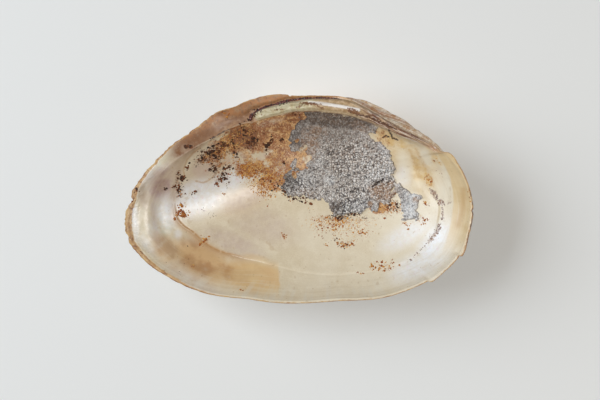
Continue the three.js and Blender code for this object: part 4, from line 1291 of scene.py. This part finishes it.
def crust_height(x, y, grit):
    """Thickness of the crust in millimetres: lumps, domed pebbles with gaps between, and one open crack."""
    swell = 0.16 * rough(x, y, 3.0, 3, 81)
    size = 0.2 + 0.2 * grit["coarse"]
    pebble = size * (grit["dome"] * (0.5 + 0.9 * grit["tone"]) - 0.9 * grit["gap"])
    crack = 0.34 * bell(path_distance(x, y, CRUST_CRACK), 0.3)
    return 0.42 + swell + pebble + 0.05 * grain(x, y, 0.3, 87) - crack


def crust_reach(turn):
    """How far the grid reaches by the angle: past the farthest corner within 14 degrees, smoothed."""
    corners = np.array(CRUST_OUTLINE) - CRUST_CENTRE
    bearing = np.degrees(np.arctan2(corners[:, 1], corners[:, 0]))
    far = np.hypot(corners[:, 0], corners[:, 1])
    apart = np.abs(around(turn[..., None], bearing))
    reach = np.max(np.where(apart < 14, far, 0), axis=-1) + CRUST_MARGIN
    kernel = bell(np.arange(-20, 21), 10.0)
    wrapped = np.concatenate([reach[0, -20:], reach[0], reach[0, :20]])
    return np.convolve(wrapped, kernel / kernel.sum(), "valid")[None, :]


def crust_surface(shape):
    """A polar grid about the crust's centre, laid on the pearl: the top at the crust's height,
    sunk under the pearl where there is no crust, and a plain underside sunk in the shell."""
    turn = np.arange(shape.crust_columns)[None, :] * 360 / shape.crust_columns
    share = np.arange(1, shape.crust_rows + 1)[:, None] / shape.crust_rows
    reach = crust_reach(turn)
    x = CRUST_CENTRE[0] + reach * share * np.cos(np.radians(turn))
    y = CRUST_CENTRE[1] + reach * share * np.sin(np.radians(turn))
    a, r = polar(x, y)
    lip = bowl_radius(a)
    shoulder, room = CRUST_LIP * lip, 0.165 * lip
    r = np.where(r > shoulder, shoulder + room * np.tanh((r - shoulder) / room), r)
    x, y = seen(inner_face(a, r))
    cover = crust_cover(x, y)
    grit = crust_pebbles(x, y)
    lift = -CRUST_SUNK + (crust_height(x, y, grit) + CRUST_SUNK) * cover
    top = off_face(inner_face, a, r, NORMAL_STEP, lift)
    below = slice(None, None, -8)
    under = off_face(inner_face, a[below], r[below], NORMAL_STEP, np.full(a[below].shape, CRUST_UNDERSIDE))
    marks = {
        "pale": union(x, y, CRUST_PALE, 0.6), "coarse": grit["coarse"], "shade": union(x, y, CRUST_SHADE),
        "blue": union(x, y, CRUST_BLUE, 0.6), "brown": union(x, y, CRUST_BROWN, 0.6), "cover": cover,
        "tone": grit["tone"], "gap": grit["gap"],
        "crack_shade": bell(path_distance(x, y, CRUST_CRACK), 0.34),
    }
    columns = {}
    for key, value in marks.items():
        pole = [value[0, 0]]
        columns[key] = np.concatenate([pole, value.reshape(-1), value[below].reshape(-1), pole])
    middle = off_face(inner_face, a[0, 0], r[0, 0], NORMAL_STEP, np.array([0.5, CRUST_UNDERSIDE]))
    return np.concatenate([top, under]), columns, middle


def crust_material(finish):
    """Gritty grey mineral: pale, grey and black pebbles, brown and bluish places, and painted shade in the
    gaps between the pebbles, in the crack and along part of the edge.
    """
    sheet = NodeSheet("gritty_crust")
    mark, mix, step, noise, over = sheet.mark, sheet.mix, sheet.step, sheet.noise, sheet.over
    times, plus = sheet.times, sheet.plus
    base = mix(noise(0.5, 4, 0.6), (184, 172, 162), tuple(finish.crust))
    base = over(base, mark("shade"), (104, 90, 80), 0.9)
    base = over(base, mark("blue"), (164, 165, 168), 0.5)
    base = over(base, times(mark("pale"), step(noise(1.1, 4, 0.65), 0.3, 0.6)), (222, 223, 224), 0.95)
    brown = step(plus(times(mark("brown"), 0.55), noise(0.9, 4, 0.7)), 0.72, 0.95)
    base = over(base, brown, mix(noise(1.6, 3), (140, 104, 78), (190, 152, 118)), 0.75)
    contrast = times(sheet.blend(mark("coarse"), 0.55, 1.0), sheet.blend(mark("shade"), 1.0, 0.6))
    light = step(mark("tone"), 0.62, 0.76)
    base = over(base, times(light, contrast), (232, 229, 224), 0.8)
    dark = step(mark("tone"), 0.3, 0.18)
    base = over(base, times(dark, contrast), (54, 50, 50), 0.8)
    fine = sheet.shifted(2.5, 1.2, 0.5)
    base = over(base, times(step(fine, 0.57, 0.61), contrast), (30, 23, 20), 0.9)
    base = over(base, times(step(fine, 0.43, 0.39), contrast), (250, 246, 240), 0.85)
    # Painted shade in the gaps between the pebbles, which the crust's height also sinks
    base = over(base, times(mark("gap"), contrast), (44, 38, 36), 0.7)
    base = over(base, times(mark("pale"), step(noise(1.5, 3, 0.6), 0.42, 0.58)), (238, 237, 234), 0.6)
    base = over(base, mark("shade"), (84, 70, 60), 0.35)
    base = over(base, times(mark("brown"), step(noise(1.4, 3, 0.6), 0.4, 0.6)), (176, 140, 108), 0.4)
    # Painted shade in the crust's crack, in a dark brown
    base = over(base, step(sheet.ragged("crack_shade", 2.2, 1.5), 0.4, 0.7), (38, 20, 12), 0.95)
    # A broken dark border where the crust thins out: partly painted shadow of its raised edge
    base = over(base, times(step(mark("cover"), 0.9, 0.4), step(noise(1.3, 3), 0.35, 0.6)), (70, 54, 46), 0.7)
    return sheet.finish(base, 0.8, sheet.bump(noise(3.0, 3, 0.6), 0.8, 0.0002))


LIGAMENT_SIDES = 16
LIGAMENT_PATH = [
    (-12.6, 19.9), (-12.1, 21.4), (-9.7, 23.0), (-7.5, 23.8), (-4.9, 24.5), (-2.3, 25.1), (0.3, 25.5),
    (4.1, 25.75), (8, 25.7), (11.0, 25.4),
]


def along_path(points, count):
    """Points evenly spaced along a smooth curve through the given points, by cubic steps."""
    p = np.array(points, float)
    p = np.concatenate([2 * p[:1] - p[1:2], p, 2 * p[-1:] - p[-2:-1]])
    t = np.linspace(0, len(points) - 1 - 1e-9, count * 8)
    i = t.astype(int) + 1
    f = (t - i + 1)[:, None]
    curve = 0.5 * (
        2 * p[i] + (p[i + 1] - p[i - 1]) * f + (2 * p[i - 1] - 5 * p[i] + 4 * p[i + 1] - p[i + 2]) * f**2
        + (3 * p[i] - 3 * p[i + 1] + p[i + 2] - p[i - 1]) * f**3
    )
    length = np.concatenate([[0], np.cumsum(np.linalg.norm(np.diff(curve, axis=0), axis=1))])
    even = np.linspace(0, length[-1], count)
    return np.stack([np.interp(even, length, curve[:, k]) for k in range(p.shape[1])], -1)


def ligament_surface(shape):
    """A crumbling strip: rings of an uneven radius round a line that lies in its groove."""
    line = along_path(LIGAMENT_PATH, shape.ligament_steps)
    a, r = polar(line[:, 0], line[:, 1])
    centre = inner_face(a, r) + np.array([0.0, 0.0, 0.1])
    tangent = np.gradient(centre, axis=0)
    tangent = tangent / np.linalg.norm(tangent, axis=1, keepdims=True)
    side = np.cross(tangent, (0.0, 0.0, 1.0))
    side = side / np.linalg.norm(side, axis=1, keepdims=True)
    up = np.cross(side, tangent)
    around_turn = np.linspace(0, 2 * np.pi, LIGAMENT_SIDES + 1)[:-1]
    s = np.linspace(0, 1, len(a))
    taper = smooth(s, 0, 0.02) * (1 - smooth(s, 0.92, 1.0))
    stout = 0.22 + 0.1 * bell(s, 0.14) - 0.1 * smooth(s, 0.45, 0.85)
    width = (stout + 0.16 * rough(s * 60, s * 0, 1.0, 3, 91)) * taper + 0.03
    lump = 1 + 0.45 * rough(s[:, None] * 110, around_turn[None, :] * 1.5, 1.0, 3, 93)
    radius = width[:, None] * lump
    rings = (
        centre[:, None, :]
        + radius[..., None] * np.cos(around_turn)[None, :, None] * side[:, None, :] * 1.25
        + radius[..., None] * np.sin(around_turn)[None, :, None] * up[:, None, :]
    )
    return centre, rings


def ligament_material(finish):
    """Dried ligament: dark red-brown with black crumbs and a few pale ones."""
    sheet = NodeSheet("dried_ligament")
    mix, step, noise = sheet.mix, sheet.step, sheet.noise
    base = mix(noise(1.6, 4, 0.7), tuple(finish.ligament), (122, 50, 34))
    base = mix(step(noise(2.4, 3, 0.6), 0.48, 0.56), base, (26, 18, 22))
    base = mix(step(noise(2.9, 2, 0.5), 0.6, 0.66), base, (160, 138, 132))
    return sheet.finish(base, 0.6, sheet.bump(noise(3.0, 4, 0.6), 0.8, 0.0002))


GRAIN_COLUMNS = 6
GRAIN_ROWS = 3
GRAIN_SCALE = 1.12  # a flat lump shows smaller than its size
GRAIN_MARGIN = 0.3  # no grain lies nearer to the edge


def lumps(centres, normals, sizes, rng):
    """Small closed lumps: each is a sphere grid with an uneven radius, flattened along its normal."""
    count = len(centres)
    phi = np.arange(GRAIN_COLUMNS) * 2 * np.pi / GRAIN_COLUMNS
    theta = np.arange(1, GRAIN_ROWS + 1) * np.pi / (GRAIN_ROWS + 1)
    ball = np.stack(
        [np.outer(np.sin(theta), np.cos(phi)), np.outer(np.sin(theta), np.sin(phi)),
         np.outer(np.cos(theta), np.ones(GRAIN_COLUMNS))], -1
    ).reshape(-1, 3)
    ball = np.concatenate([[(0, 0, 1.0)], ball, [(0, 0, -1.0)]])
    uneven = ball[None] * (1 + rng.uniform(-0.24, 0.24, (count, len(ball), 1)))
    spans = ((0.8, 1.5), (0.6, 1.1), (0.14, 0.34))
    stretch = np.stack([rng.uniform(low, high, count) for low, high in spans], -1)
    uneven = uneven * stretch[:, None, :] * sizes[:, None, None]
    spin = rng.uniform(0, 2 * np.pi, count)
    helper = np.stack([np.cos(spin), np.sin(spin), np.zeros(count)], -1)
    side = np.cross(normals, helper)
    side = side / np.linalg.norm(side, axis=1, keepdims=True)
    other = np.cross(normals, side)
    axes = np.stack([side, other, normals], 1)
    points = centres[:, None, :] + np.einsum("nvk,nkc->nvc", uneven, axes)
    ids = 1 + np.arange(GRAIN_ROWS * GRAIN_COLUMNS).reshape(GRAIN_ROWS, GRAIN_COLUMNS)
    after = np.roll(ids, -1, axis=1)
    cap = np.stack([np.zeros(GRAIN_COLUMNS, int), ids[0], after[0]], -1)
    quads = np.stack([ids[:-1], ids[1:], after[1:], after[:-1]], -1).reshape(-1, 4)
    base = np.stack([np.full(GRAIN_COLUMNS, len(ball) - 1), after[-1], ids[-1]], -1)
    offset = (np.arange(count) * len(ball))[:, None, None]
    groups = [(group[None] + offset).reshape(-1, group.shape[1]) for group in (cap, quads, base)]
    return points.reshape(-1, 3), groups, len(ball)


# Runs of specks: the line they lie along, how far they stray, how many, the least and the greatest size,
# all in plan millimetres as the photograph shows them
DARK_RUNS = [  # black and dark brown
    ([(-29.5, 13.2), (-28.6, 13.5), (-27.5, 13.2)], 0.25, 16, 0.16, 0.4),
    ([(-26.1, 9.3), (-24.8, 10.3), (-23.5, 11.6), (-22.2, 12.6)], 0.7, 46, 0.12, 0.42),
    ([(-20.1, 14.4), (-20.9, 13.2), (-21.4, 11.4), (-21.9, 9.5)], 0.6, 36, 0.12, 0.42),
    ([(-20.1, 13.7), (-18.6, 13.9), (-16.8, 14.7)], 0.5, 24, 0.12, 0.36),
    ([(-16.8, 14.7), (-16.6, 13.2), (-16.3, 10.3)], 0.3, 24, 0.1, 0.36),
    ([(-12.4, 15.7), (-12.4, 14.2)], 0.5, 10, 0.16, 0.4),
    ([(-12.9, 14.2), (-11.6, 15.2)], 0.6, 12, 0.1, 0.35),
    ([(-15.6, 17.0), (-13.4, 15.6), (-10.4, 16.4)], 1.2, 34, 0.08, 0.26),
    ([(-13.6, 13.2), (-11.0, 13.6)], 0.5, 14, 0.08, 0.26),
    ([(-26.0, 12.4), (-22.4, 14.6), (-18.2, 16.4)], 0.7, 22, 0.06, 0.2),
    ([(-24.8, 9.0), (-20.4, 10.4), (-18.6, 12.4)], 1.4, 40, 0.06, 0.2),
    ([(-15.2, 18.6), (-14.4, 17.8), (-13.7, 17)], 0.25, 14, 0.14, 0.36),
    ([(-23.2, 8.5), (-22.2, 7.2), (-21.2, 7)], 0.6, 22, 0.12, 0.4),
    ([(-19.9, 7.5), (-18.3, 8), (-17.3, 7.7)], 0.35, 16, 0.12, 0.4),
    ([(-20.9, 4.1), (-20.1, 5.2), (-18.8, 5.9)], 0.5, 22, 0.12, 0.4),
    ([(-18.8, 5.7), (-18.6, 4.1), (-18.1, 2.8)], 0.5, 10, 0.1, 0.3),
    ([(-29.2, 7.2), (-28.4, 8.3), (-27.3, 8.3)], 0.3, 10, 0.12, 0.35),
    ([(-30.2, 5.2), (-29.9, 4.6)], 0.45, 14, 0.15, 0.45),
    ([(-31.5, 3.4), (-31, 2.1), (-30.7, 0.8)], 0.6, 22, 0.1, 0.36),
    ([(-31.7, 6.7), (-31.2, 6.2)], 0.2, 6, 0.12, 0.3),
    ([(-34.6, 2.2), (-33.9, 2.5)], 0.1, 5, 0.2, 0.38),
    ([(-26.8, 1.7), (-26.6, 1.7)], 0.05, 5, 0.25, 0.36),
    ([(-8.3, 13.3), (-7.5, 14.4)], 0.2, 9, 0.3, 0.55),
    ([(-7.2, 15.2), (-6.7, 15.1)], 0.15, 4, 0.2, 0.4),
    ([(-8.6, 12.3), (-8.3, 12.5)], 0.1, 3, 0.2, 0.34),
    ([(-4.9, 14.7), (-3.9, 15.2)], 0.15, 5, 0.15, 0.35),
    ([(-4, 9.5), (-3.9, 9)], 0.12, 4, 0.22, 0.38),
    ([(-4.4, 2.1), (-2.3, 0.3), (0.3, -0.3), (3.4, -0.3)], 0.55, 34, 0.12, 0.4),
    ([(8.3, -4.9), (10.1, -5.2), (12.6, -4.6), (15.7, -4.1)], 0.4, 34, 0.12, 0.4),
    ([(-11.4, 7.7), (-7.7, 4.4), (-4.6, 3.1)], 1, 26, 0.1, 0.28),
    ([(9.5, -10.3), (11.6, -12.4), (13.7, -11.9)], 0.5, 20, 0.08, 0.24),
    ([(22.4, -2.1), (24, -2.6), (25.5, -1.8)], 0.7, 34, 0.1, 0.34),
    ([(-25.8, -2.8), (-24, -3.4), (-22.7, -4.6), (-21.9, -4.4)], 0.5, 12, 0.06, 0.13),
    ([(-33.8, -16.8), (-27.6, -15.2), (-27.3, -17.8)], 3, 14, 0.06, 0.14),
    ([(-42.1, 3.6), (-42.8, 1), (-43.1, -0.5)], 0.45, 26, 0.12, 0.4),
    ([(-2.1, 21.9), (-0.5, 22.1), (0.8, 22.2)], 0.12, 14, 0.12, 0.28),
    ([(-12.9, 19.9), (-12.4, 20.6), (-11.1, 21.9)], 0.35, 26, 0.12, 0.36),
    ([(-11.1, 22.2), (-8, 23.7), (-4.4, 24.5), (-0.8, 25.4)], 0.3, 44, 0.1, 0.3),
]
DIRT_RUNS = [  # grey-brown crumbs along the front of the pallial line
    ([(34.1, 2.1), (34.8, 1), (35.6, 0)], 0.4, 14, 0.08, 0.22),
    ([(36.2, -0.5), (37, -1.5)], 0.35, 12, 0.1, 0.26),
    ([(37, -2.1), (37, -3.6), (36.6, -5.4)], 0.15, 12, 0.07, 0.18),
    ([(35.9, -6.7), (36, -7)], 0.12, 4, 0.12, 0.24),
    ([(36.4, -7.2), (35.1, -9.3), (33.3, -11.6)], 0.35, 24, 0.08, 0.22),
    ([(33, -11.9), (30.7, -13.9), (28.6, -16)], 0.2, 16, 0.06, 0.15),
    ([(28.6, -16), (29.2, -16)], 0.12, 5, 0.12, 0.22),
]
RUST_RUNS = [  # rust and orange
    ([(-24.4, 9.8), (-20.6, 11.6), (-17.6, 14.2)], 1.2, 50, 0.08, 0.24),
    ([(-20.8, 4.6), (-18.4, 6.6), (-17.4, 9.6)], 0.8, 34, 0.08, 0.24),
    ([(-31.4, 3.2), (-30.6, 1.2)], 0.8, 18, 0.08, 0.24),
    ([(-31.5, -4.4), (-30.4, -3.9), (-29.2, -4.4), (-28.1, -3.9)], 0.55, 30, 0.14, 0.42),
    ([(-30.7, -1.3), (-30.4, -2.3)], 0.2, 8, 0.14, 0.32),
    ([(-25.3, -11.9), (-24.5, -10.8), (-23.5, -10.6)], 0.5, 22, 0.1, 0.32),
    ([(-19.6, 1.3), (-19.1, 0.9)], 0.25, 6, 0.1, 0.3),
    ([(-15.1, -23.6), (-14.3, -23.9)], 0.12, 6, 0.14, 0.26),
    ([(18.8, -17.5), (21.2, -17.5), (22.4, -18.3), (24.4, -17.6)], 0.9, 26, 0.16, 0.34),
    ([(25.7, -17.3), (25.9, -17.2)], 0.05, 2, 0.2, 0.3),
    ([(14.7, -19.5), (16.8, -19.4)], 0.15, 6, 0.1, 0.24),
    ([(18.3, -17.3), (19.2, -17.7)], 0.1, 5, 0.16, 0.32),
    ([(-4.6, -9.3), (-3.9, -9.9), (-3.1, -10.4)], 0.3, 12, 0.1, 0.24),
    ([(3.1, -4.1), (4.9, -6.2), (6.2, -8.8)], 0.9, 34, 0.08, 0.24),
    ([(7.5, -4.6), (9.8, -5.7), (12.6, -5.7)], 0.9, 46, 0.08, 0.28),
    ([(9.8, -10.8), (11.6, -12.4), (13.2, -11.6), (13.9, -12.1)], 0.6, 46, 0.08, 0.28),
    ([(14.4, -8), (15.7, -8.8), (17.3, -8.8)], 0.6, 22, 0.08, 0.26),
    ([(8.8, -7.2), (10.6, -8.8)], 0.8, 16, 0.08, 0.24),
    ([(7, -12.1), (7.2, -12.1)], 0.3, 4, 0.12, 0.24),
    ([(21.7, -2.1), (23.7, -1.3), (26.1, -3.1)], 1.3, 60, 0.08, 0.26),
    ([(27.1, -6.5), (28.1, -7.2)], 0.5, 10, 0.1, 0.26),
    ([(31.7, -5.4), (33, -5.4), (32, -6.7)], 0.35, 12, 0.1, 0.28),
    ([(32.2, -1), (33.3, -2.1)], 0.3, 8, 0.1, 0.28),
    ([(32.8, 5.4), (33.5, 4.4), (34.1, 3.6)], 0.5, 18, 0.08, 0.26),
    ([(34.8, 10.6), (35.6, 8.8), (36.4, 4.9)], 0.4, 8, 0.08, 0.2),
    ([(-15.7, 8.3), (-12.6, 6.7), (-9.5, 5.7)], 1.2, 110, 0.1, 0.3),
    ([(-9.5, 2.6), (-7, 4.6), (-3.9, 5.2)], 1.3, 80, 0.1, 0.3),
    ([(-11.1, 2.1), (-9, 0.5), (-6.2, 1)], 1, 34, 0.08, 0.24),
    ([(-4.6, 2.6), (-3.6, 1.3), (-1.8, 0.3)], 0.6, 26, 0.08, 0.24),
    ([(-19.9, 22.2), (-18.3, 21.7)], 0.6, 12, 0.1, 0.3),
    ([(43.6, 3.4), (44.1, -0.5), (43.6, -3.6)], 0.12, 12, 0.08, 0.2),
]


GRAIN_KINDS = (  # the piece, its runs, and its darkest and lightest colours, sRGB 0 to 255
    ("dark_grains", DARK_RUNS, (22, 10, 4), (118, 62, 24)),
    ("rust_flecks", RUST_RUNS, (146, 72, 20), (218, 158, 72)),
    ("dirt_crumbs", DIRT_RUNS, (84, 54, 44), (186, 152, 130)),
)


def strewn(runs, rng):
    """Specks strewn along their lines, each a small clump: plan places and sizes."""
    places, sizes = [], []
    for path, stray, count, small, large in runs:
        even = along_path(path, 40)
        on = even[rng.integers(0, 40, count)] + rng.normal(0, stray, (count, 2))
        size = GRAIN_SCALE * (small + (large - small) * rng.uniform(0, 1, count) ** 1.5)
        places += [on, on + rng.normal(0, 1.5, (count, 2)) * size[:, None]]
        sizes += [size, size * rng.uniform(0.25, 0.6, count)]
    return np.concatenate(places), np.concatenate(sizes)


SIGHT_ROUNDS = 6


def under_sight(places):
    """The angle and radius on the pearly face of the points that are seen at the given plan places."""
    a, r = polar(places[:, 0], places[:, 1])
    for _ in range(SIGHT_ROUNDS):
        x, y = plan(a, r)
        seen_x, seen_y = seen(inner_face(a, r))
        a, r = polar(x + places[:, 0] - seen_x, y + places[:, 1] - seen_y)
    return a, r


def grain_material(name, deep, light):
    """Small crumbs with one tone each, by the attribute, and a dull surface."""
    sheet = NodeSheet(name)
    base = sheet.mix(sheet.mark("tone"), deep, light)
    base = sheet.over(base, sheet.noise(3.0, 3, 0.6), (150, 100, 56), 0.14)
    return sheet.finish(base, 0.75, sheet.bump(sheet.noise(4.0, 3, 0.6), 0.6, 0.0001))


def floor_material(stage):
    """Plain pale card with the faintest tooth."""
    sheet = NodeSheet("pale_card")
    return sheet.finish(colour(tuple(stage.floor)), 0.9, sheet.bump(sheet.noise(2.0, 3, 0.6), 0.02, 0.0001))


class ClamShape(bpy.types.PropertyGroup):
    length: FloatProperty(name="Length", description="End to end", default=0.09, min=0.03, unit="LENGTH")
    hollow_depth: FloatProperty(
        name="Hollow depth", description="Rim plane to the pearl's deepest point",
        default=0.0142, min=0.004, unit="LENGTH",
    )
    shell_depth: FloatProperty(
        name="Shell depth", description="Rim plane to the lowest point of the back",
        default=0.0166, min=0.005, unit="LENGTH",
    )
    ridge_height: FloatProperty(
        name="Growth ridges", description="Height of the ridges on the back",
        default=0.00035, min=0.0, unit="LENGTH",
    )
    worn_depth: FloatProperty(
        name="Worn depth", description="How far the back is worn flat where it rests",
        default=0.0002, min=0.0, unit="LENGTH",
    )
    columns: IntProperty(name="Columns", description="Points round the rim", default=640, min=64)
    floor_rows: IntProperty(
        name="Floor rows", description="Rings from the deepest point to the basin's line",
        default=40, min=8,
    )
    border_rows: IntProperty(
        name="Border rows", description="Rings from the basin's line to the rim",
        default=78, min=8,
    )
    back_rows: IntProperty(
        name="Back rows", description="Rings from the rim to the beak",
        default=36, min=8,
    )
    crust_columns: IntProperty(
        name="Crust columns", description="Points round the crust",
        default=600, min=24,
    )
    crust_rows: IntProperty(name="Crust rows", description="Rings of the crust", default=144, min=8)
    ligament_steps: IntProperty(
        name="Ligament steps", description="Rings along the ligament",
        default=260, min=16,
    )


class ClamFinish(bpy.types.PropertyGroup):
    pearl: FloatVectorProperty(
        name="Pearl", description="Colour of the bare pearl, sRGB 0 to 255",
        default=(216, 200, 169), min=0, max=255,
    )
    pearl_roughness: FloatProperty(
        name="Pearl roughness", description="How soft the pearl's reflections are",
        default=0.3, min=0, max=1, subtype="FACTOR",
    )
    crust: FloatVectorProperty(
        name="Crust", description="Lighter grey of the crust, sRGB 0 to 255",
        default=(212, 204, 196), min=0, max=255,
    )
    ligament: FloatVectorProperty(
        name="Ligament", description="Colour of the dried ligament, sRGB 0 to 255",
        default=(58, 26, 22), min=0, max=255,
    )


class ClamStage(bpy.types.PropertyGroup):
    floor: FloatVectorProperty(
        name="Floor", description="Colour of the floor, sRGB 0 to 255",
        default=(233, 233, 230), min=0, max=255,
    )
    key_power: FloatProperty(
        name="Key light", description="Power of the soft light from the upper left",
        default=5.35, min=0, unit="POWER",
    )
    fill_power: FloatProperty(
        name="Fill light", description="Power of the shadowless light that the pearl reflects",
        default=5.4, min=0, unit="POWER",
    )
    sky: FloatProperty(
        name="Surrounding light", description="Strength of the even light from all round",
        default=0.05, min=0,
    )
    lens: FloatProperty(
        name="Lens", description="Focal length of the camera in millimetres",
        default=100.0, min=20,
    )
    view_width: FloatProperty(
        name="View width", description="Width that the camera sees at the rim",
        default=0.1548, min=0.05, unit="LENGTH",
    )


def wear(piece, slot, material, *nodes):
    """Gives a piece its material and its body, and hides the solids that it stands for; the slot is not used.
    """
    piece.data.materials.append(material)
    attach(piece, BODY)
    if nodes:
        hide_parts(*nodes)
    return piece


class CLAM_OT_valve(bpy.types.Operator):
    """Makes the valve: pearly face, hinge, edge and back in one closed surface"""

    bl_idname = "clam.valve"
    bl_label = "Valve"

    def execute(self, context):
        shape = context.scene.clam_shape
        origin = build_frame_offset()
        inner, inner_marks, back, back_marks = valve_surface(shape)
        rings = settled(np.concatenate([inner, back]), origin)
        deepest = settled(inner_face(0.0, 0.0), origin)
        beak = settled(growth_face(np.float64(0), np.float64(0), np.float64(0)), origin)
        rings[..., 2] = np.maximum(rings[..., 2], 0)
        columns = {}
        for key in inner_marks:
            pearl, skin = inner_marks[key], back_marks[key]
            columns[key] = np.concatenate([[pearl[0, 0]], pearl.reshape(-1), skin.reshape(-1), [skin[-1, 0]]])
        piece = solid_of_rings("valve_surface", deepest, rings, beak, columns)
        wear(piece, "shell", valve_material(context.scene.clam_finish), "valve")
        return {"FINISHED"}


class CLAM_OT_crust(bpy.types.Operator):
    """Makes the gritty grey crust in the hollow"""

    bl_idname = "clam.crust"
    bl_label = "Crust"

    def execute(self, context):
        shape = context.scene.clam_shape
        origin = build_frame_offset()
        rings, columns, middle = crust_surface(shape)
        first, last = settled(middle, origin)
        piece = solid_of_rings("crust_surface", first, settled(rings, origin), last, columns)
        wear(piece, "crust", crust_material(context.scene.clam_finish), "grey_crust")
        return {"FINISHED"}


class CLAM_OT_ligament(bpy.types.Operator):
    """Makes the dried remains of the ligament"""

    bl_idname = "clam.ligament"
    bl_label = "Ligament"

    def execute(self, context):
        origin = build_frame_offset()
        centre, rings = ligament_surface(context.scene.clam_shape)
        rings = settled(rings, origin)
        ends = settled(centre[[0, -1]], origin)
        piece = solid_of_rings("ligament_strip", ends[0], rings, ends[1], {})
        wear(piece, "ligament", ligament_material(context.scene.clam_finish), "ligament_remnant")
        return {"FINISHED"}


class CLAM_OT_grains(bpy.types.Operator):
    """Makes the dark grains, rust flecks and dirt crumbs that are stuck to the pearl"""

    bl_idname = "clam.grains"
    bl_label = "Grains and flecks"

    def execute(self, context):
        origin = build_frame_offset()
        rng = np.random.default_rng(7)
        for name, runs, deep, light in GRAIN_KINDS:
            places, sizes = strewn(runs, rng)
            free = crust_cover(places[:, 0], places[:, 1]) < 0.5
            a, r = under_sight(places[free])
            inside = r < edge_radius(a) - GRAIN_MARGIN
            a, r, sizes = a[inside], r[inside], sizes[free][inside]
            on = inner_face(a, r)
            above = off_face(inner_face, a, r, NORMAL_STEP, np.full(len(a), 1.0))
            points, groups, corners = lumps(on, above - on, sizes, rng)
            tone = np.repeat(rng.uniform(0, 1, len(a)) ** 1.8, corners)
            piece = new_mesh(name, settled(points, origin), groups, {"tone": tone})
            wear(piece, "crust", grain_material(name, deep, light))
        return {"FINISHED"}


# The two lights: the direction that each comes from, its distance and size in metres, and its tint
KEY_LIGHT = {
    "from": (-0.78, 0.22, 0.56), "distance": 0.8, "size": 0.6, "tint": (0.93, 1.0, 1.09), "shadow": True,
}
FILL_LIGHT = {
    "from": (0.46, -0.2, 0.9), "distance": 1.0, "size": 0.36, "tint": (1.0, 0.97, 0.93), "shadow": False,
}
SKY_TINT = (1.0, 0.975, 0.93, 1.0)
SENSOR_WIDTH = 36.0
FLOOR_WIDTH = 4.0


def add_area_light(name, light, power):
    """A square soft light at its distance along its direction, facing the object."""
    lamp = bpy.data.lights.new(name, "AREA")
    lamp.size = light["size"]
    lamp.energy = power
    lamp.color = light["tint"]
    lamp.use_shadow = light["shadow"]
    holder = bpy.data.objects.new(name, lamp)
    bpy.context.scene.collection.objects.link(holder)
    towards = np.array(light["from"]) / np.linalg.norm(light["from"])
    holder.location = [float(c) for c in towards * light["distance"]]
    holder.rotation_euler = holder.location.to_track_quat("Z", "Y").to_euler()


def add_camera(stage):
    """A camera looking straight down, with +X to the right."""
    camera = bpy.data.cameras.new("camera")
    camera.lens = stage.lens
    camera.sensor_width = SENSOR_WIDTH
    camera.clip_start = 0.01
    holder = bpy.data.objects.new("camera", camera)
    bpy.context.scene.collection.objects.link(holder)
    origin = build_frame_offset()
    x = (VIEW_CENTRE[0] - origin[0]) * MM
    y = (VIEW_CENTRE[1] - origin[1]) * MM
    distance = stage.view_width * stage.lens / camera.sensor_width
    holder.location = (x, y, RIM_LEVEL * MM + distance)
    bpy.context.scene.camera = holder


class CLAM_OT_stage(bpy.types.Operator):
    """Makes the floor, the soft lights and the camera that looks straight down"""

    bl_idname = "clam.stage"
    bl_label = "Stage"

    def execute(self, context):
        stage = context.scene.clam_stage
        bpy.ops.mesh.primitive_plane_add(size=FLOOR_WIDTH)
        floor = context.object
        floor.name = "floor"
        floor.data.materials.append(floor_material(stage))
        add_area_light("key_light", KEY_LIGHT, stage.key_power)
        add_area_light("fill_light", FILL_LIGHT, stage.fill_power)
        world = context.scene.world or bpy.data.worlds.new("sky")
        context.scene.world = world
        world.use_nodes = True
        sky = world.node_tree.nodes["Background"]
        sky.inputs["Color"].default_value = SKY_TINT
        sky.inputs["Strength"].default_value = stage.sky
        add_camera(stage)
        context.scene.view_settings.view_transform = "Standard"
        return {"FINISHED"}


class CLAM_PT_panel(bpy.types.Panel):
    """Lists the steps that build the shell, and its settings"""

    bl_idname = "CLAM_PT_panel"
    bl_label = "Clam valve"
    bl_space_type = "VIEW_3D"
    bl_region_type = "UI"
    bl_category = "Clam"

    def draw(self, context):
        for group in (context.scene.clam_shape, context.scene.clam_finish, context.scene.clam_stage):
            box = self.layout.box()
            for key in group.bl_rna.properties.keys():
                if key not in ("rna_type", "name"):
                    box.prop(group, key)
        for step in STEPS:
            self.layout.operator(step.bl_idname)


STEPS = (CLAM_OT_valve, CLAM_OT_crust, CLAM_OT_ligament, CLAM_OT_grains, CLAM_OT_stage)
CLASSES = (ClamShape, ClamFinish, ClamStage, *STEPS, CLAM_PT_panel)


def register():
    """Adds the classes and the three groups of settings."""
    for item in CLASSES:
        bpy.utils.register_class(item)
    bpy.types.Scene.clam_shape = PointerProperty(type=ClamShape)
    bpy.types.Scene.clam_finish = PointerProperty(type=ClamFinish)
    bpy.types.Scene.clam_stage = PointerProperty(type=ClamStage)


def unregister():
    """Takes away all that register adds."""
    del bpy.types.Scene.clam_stage
    del bpy.types.Scene.clam_finish
    del bpy.types.Scene.clam_shape
    for item in reversed(CLASSES):
        bpy.utils.unregister_class(item)


def main():
    """Registers the classes and builds the pieces and the stage."""
    register()
    bpy.ops.clam.valve()
    bpy.ops.clam.crust()
    bpy.ops.clam.ligament()
    bpy.ops.clam.grains()
    bpy.ops.clam.stage()


if __name__ == "__main__":
    main()
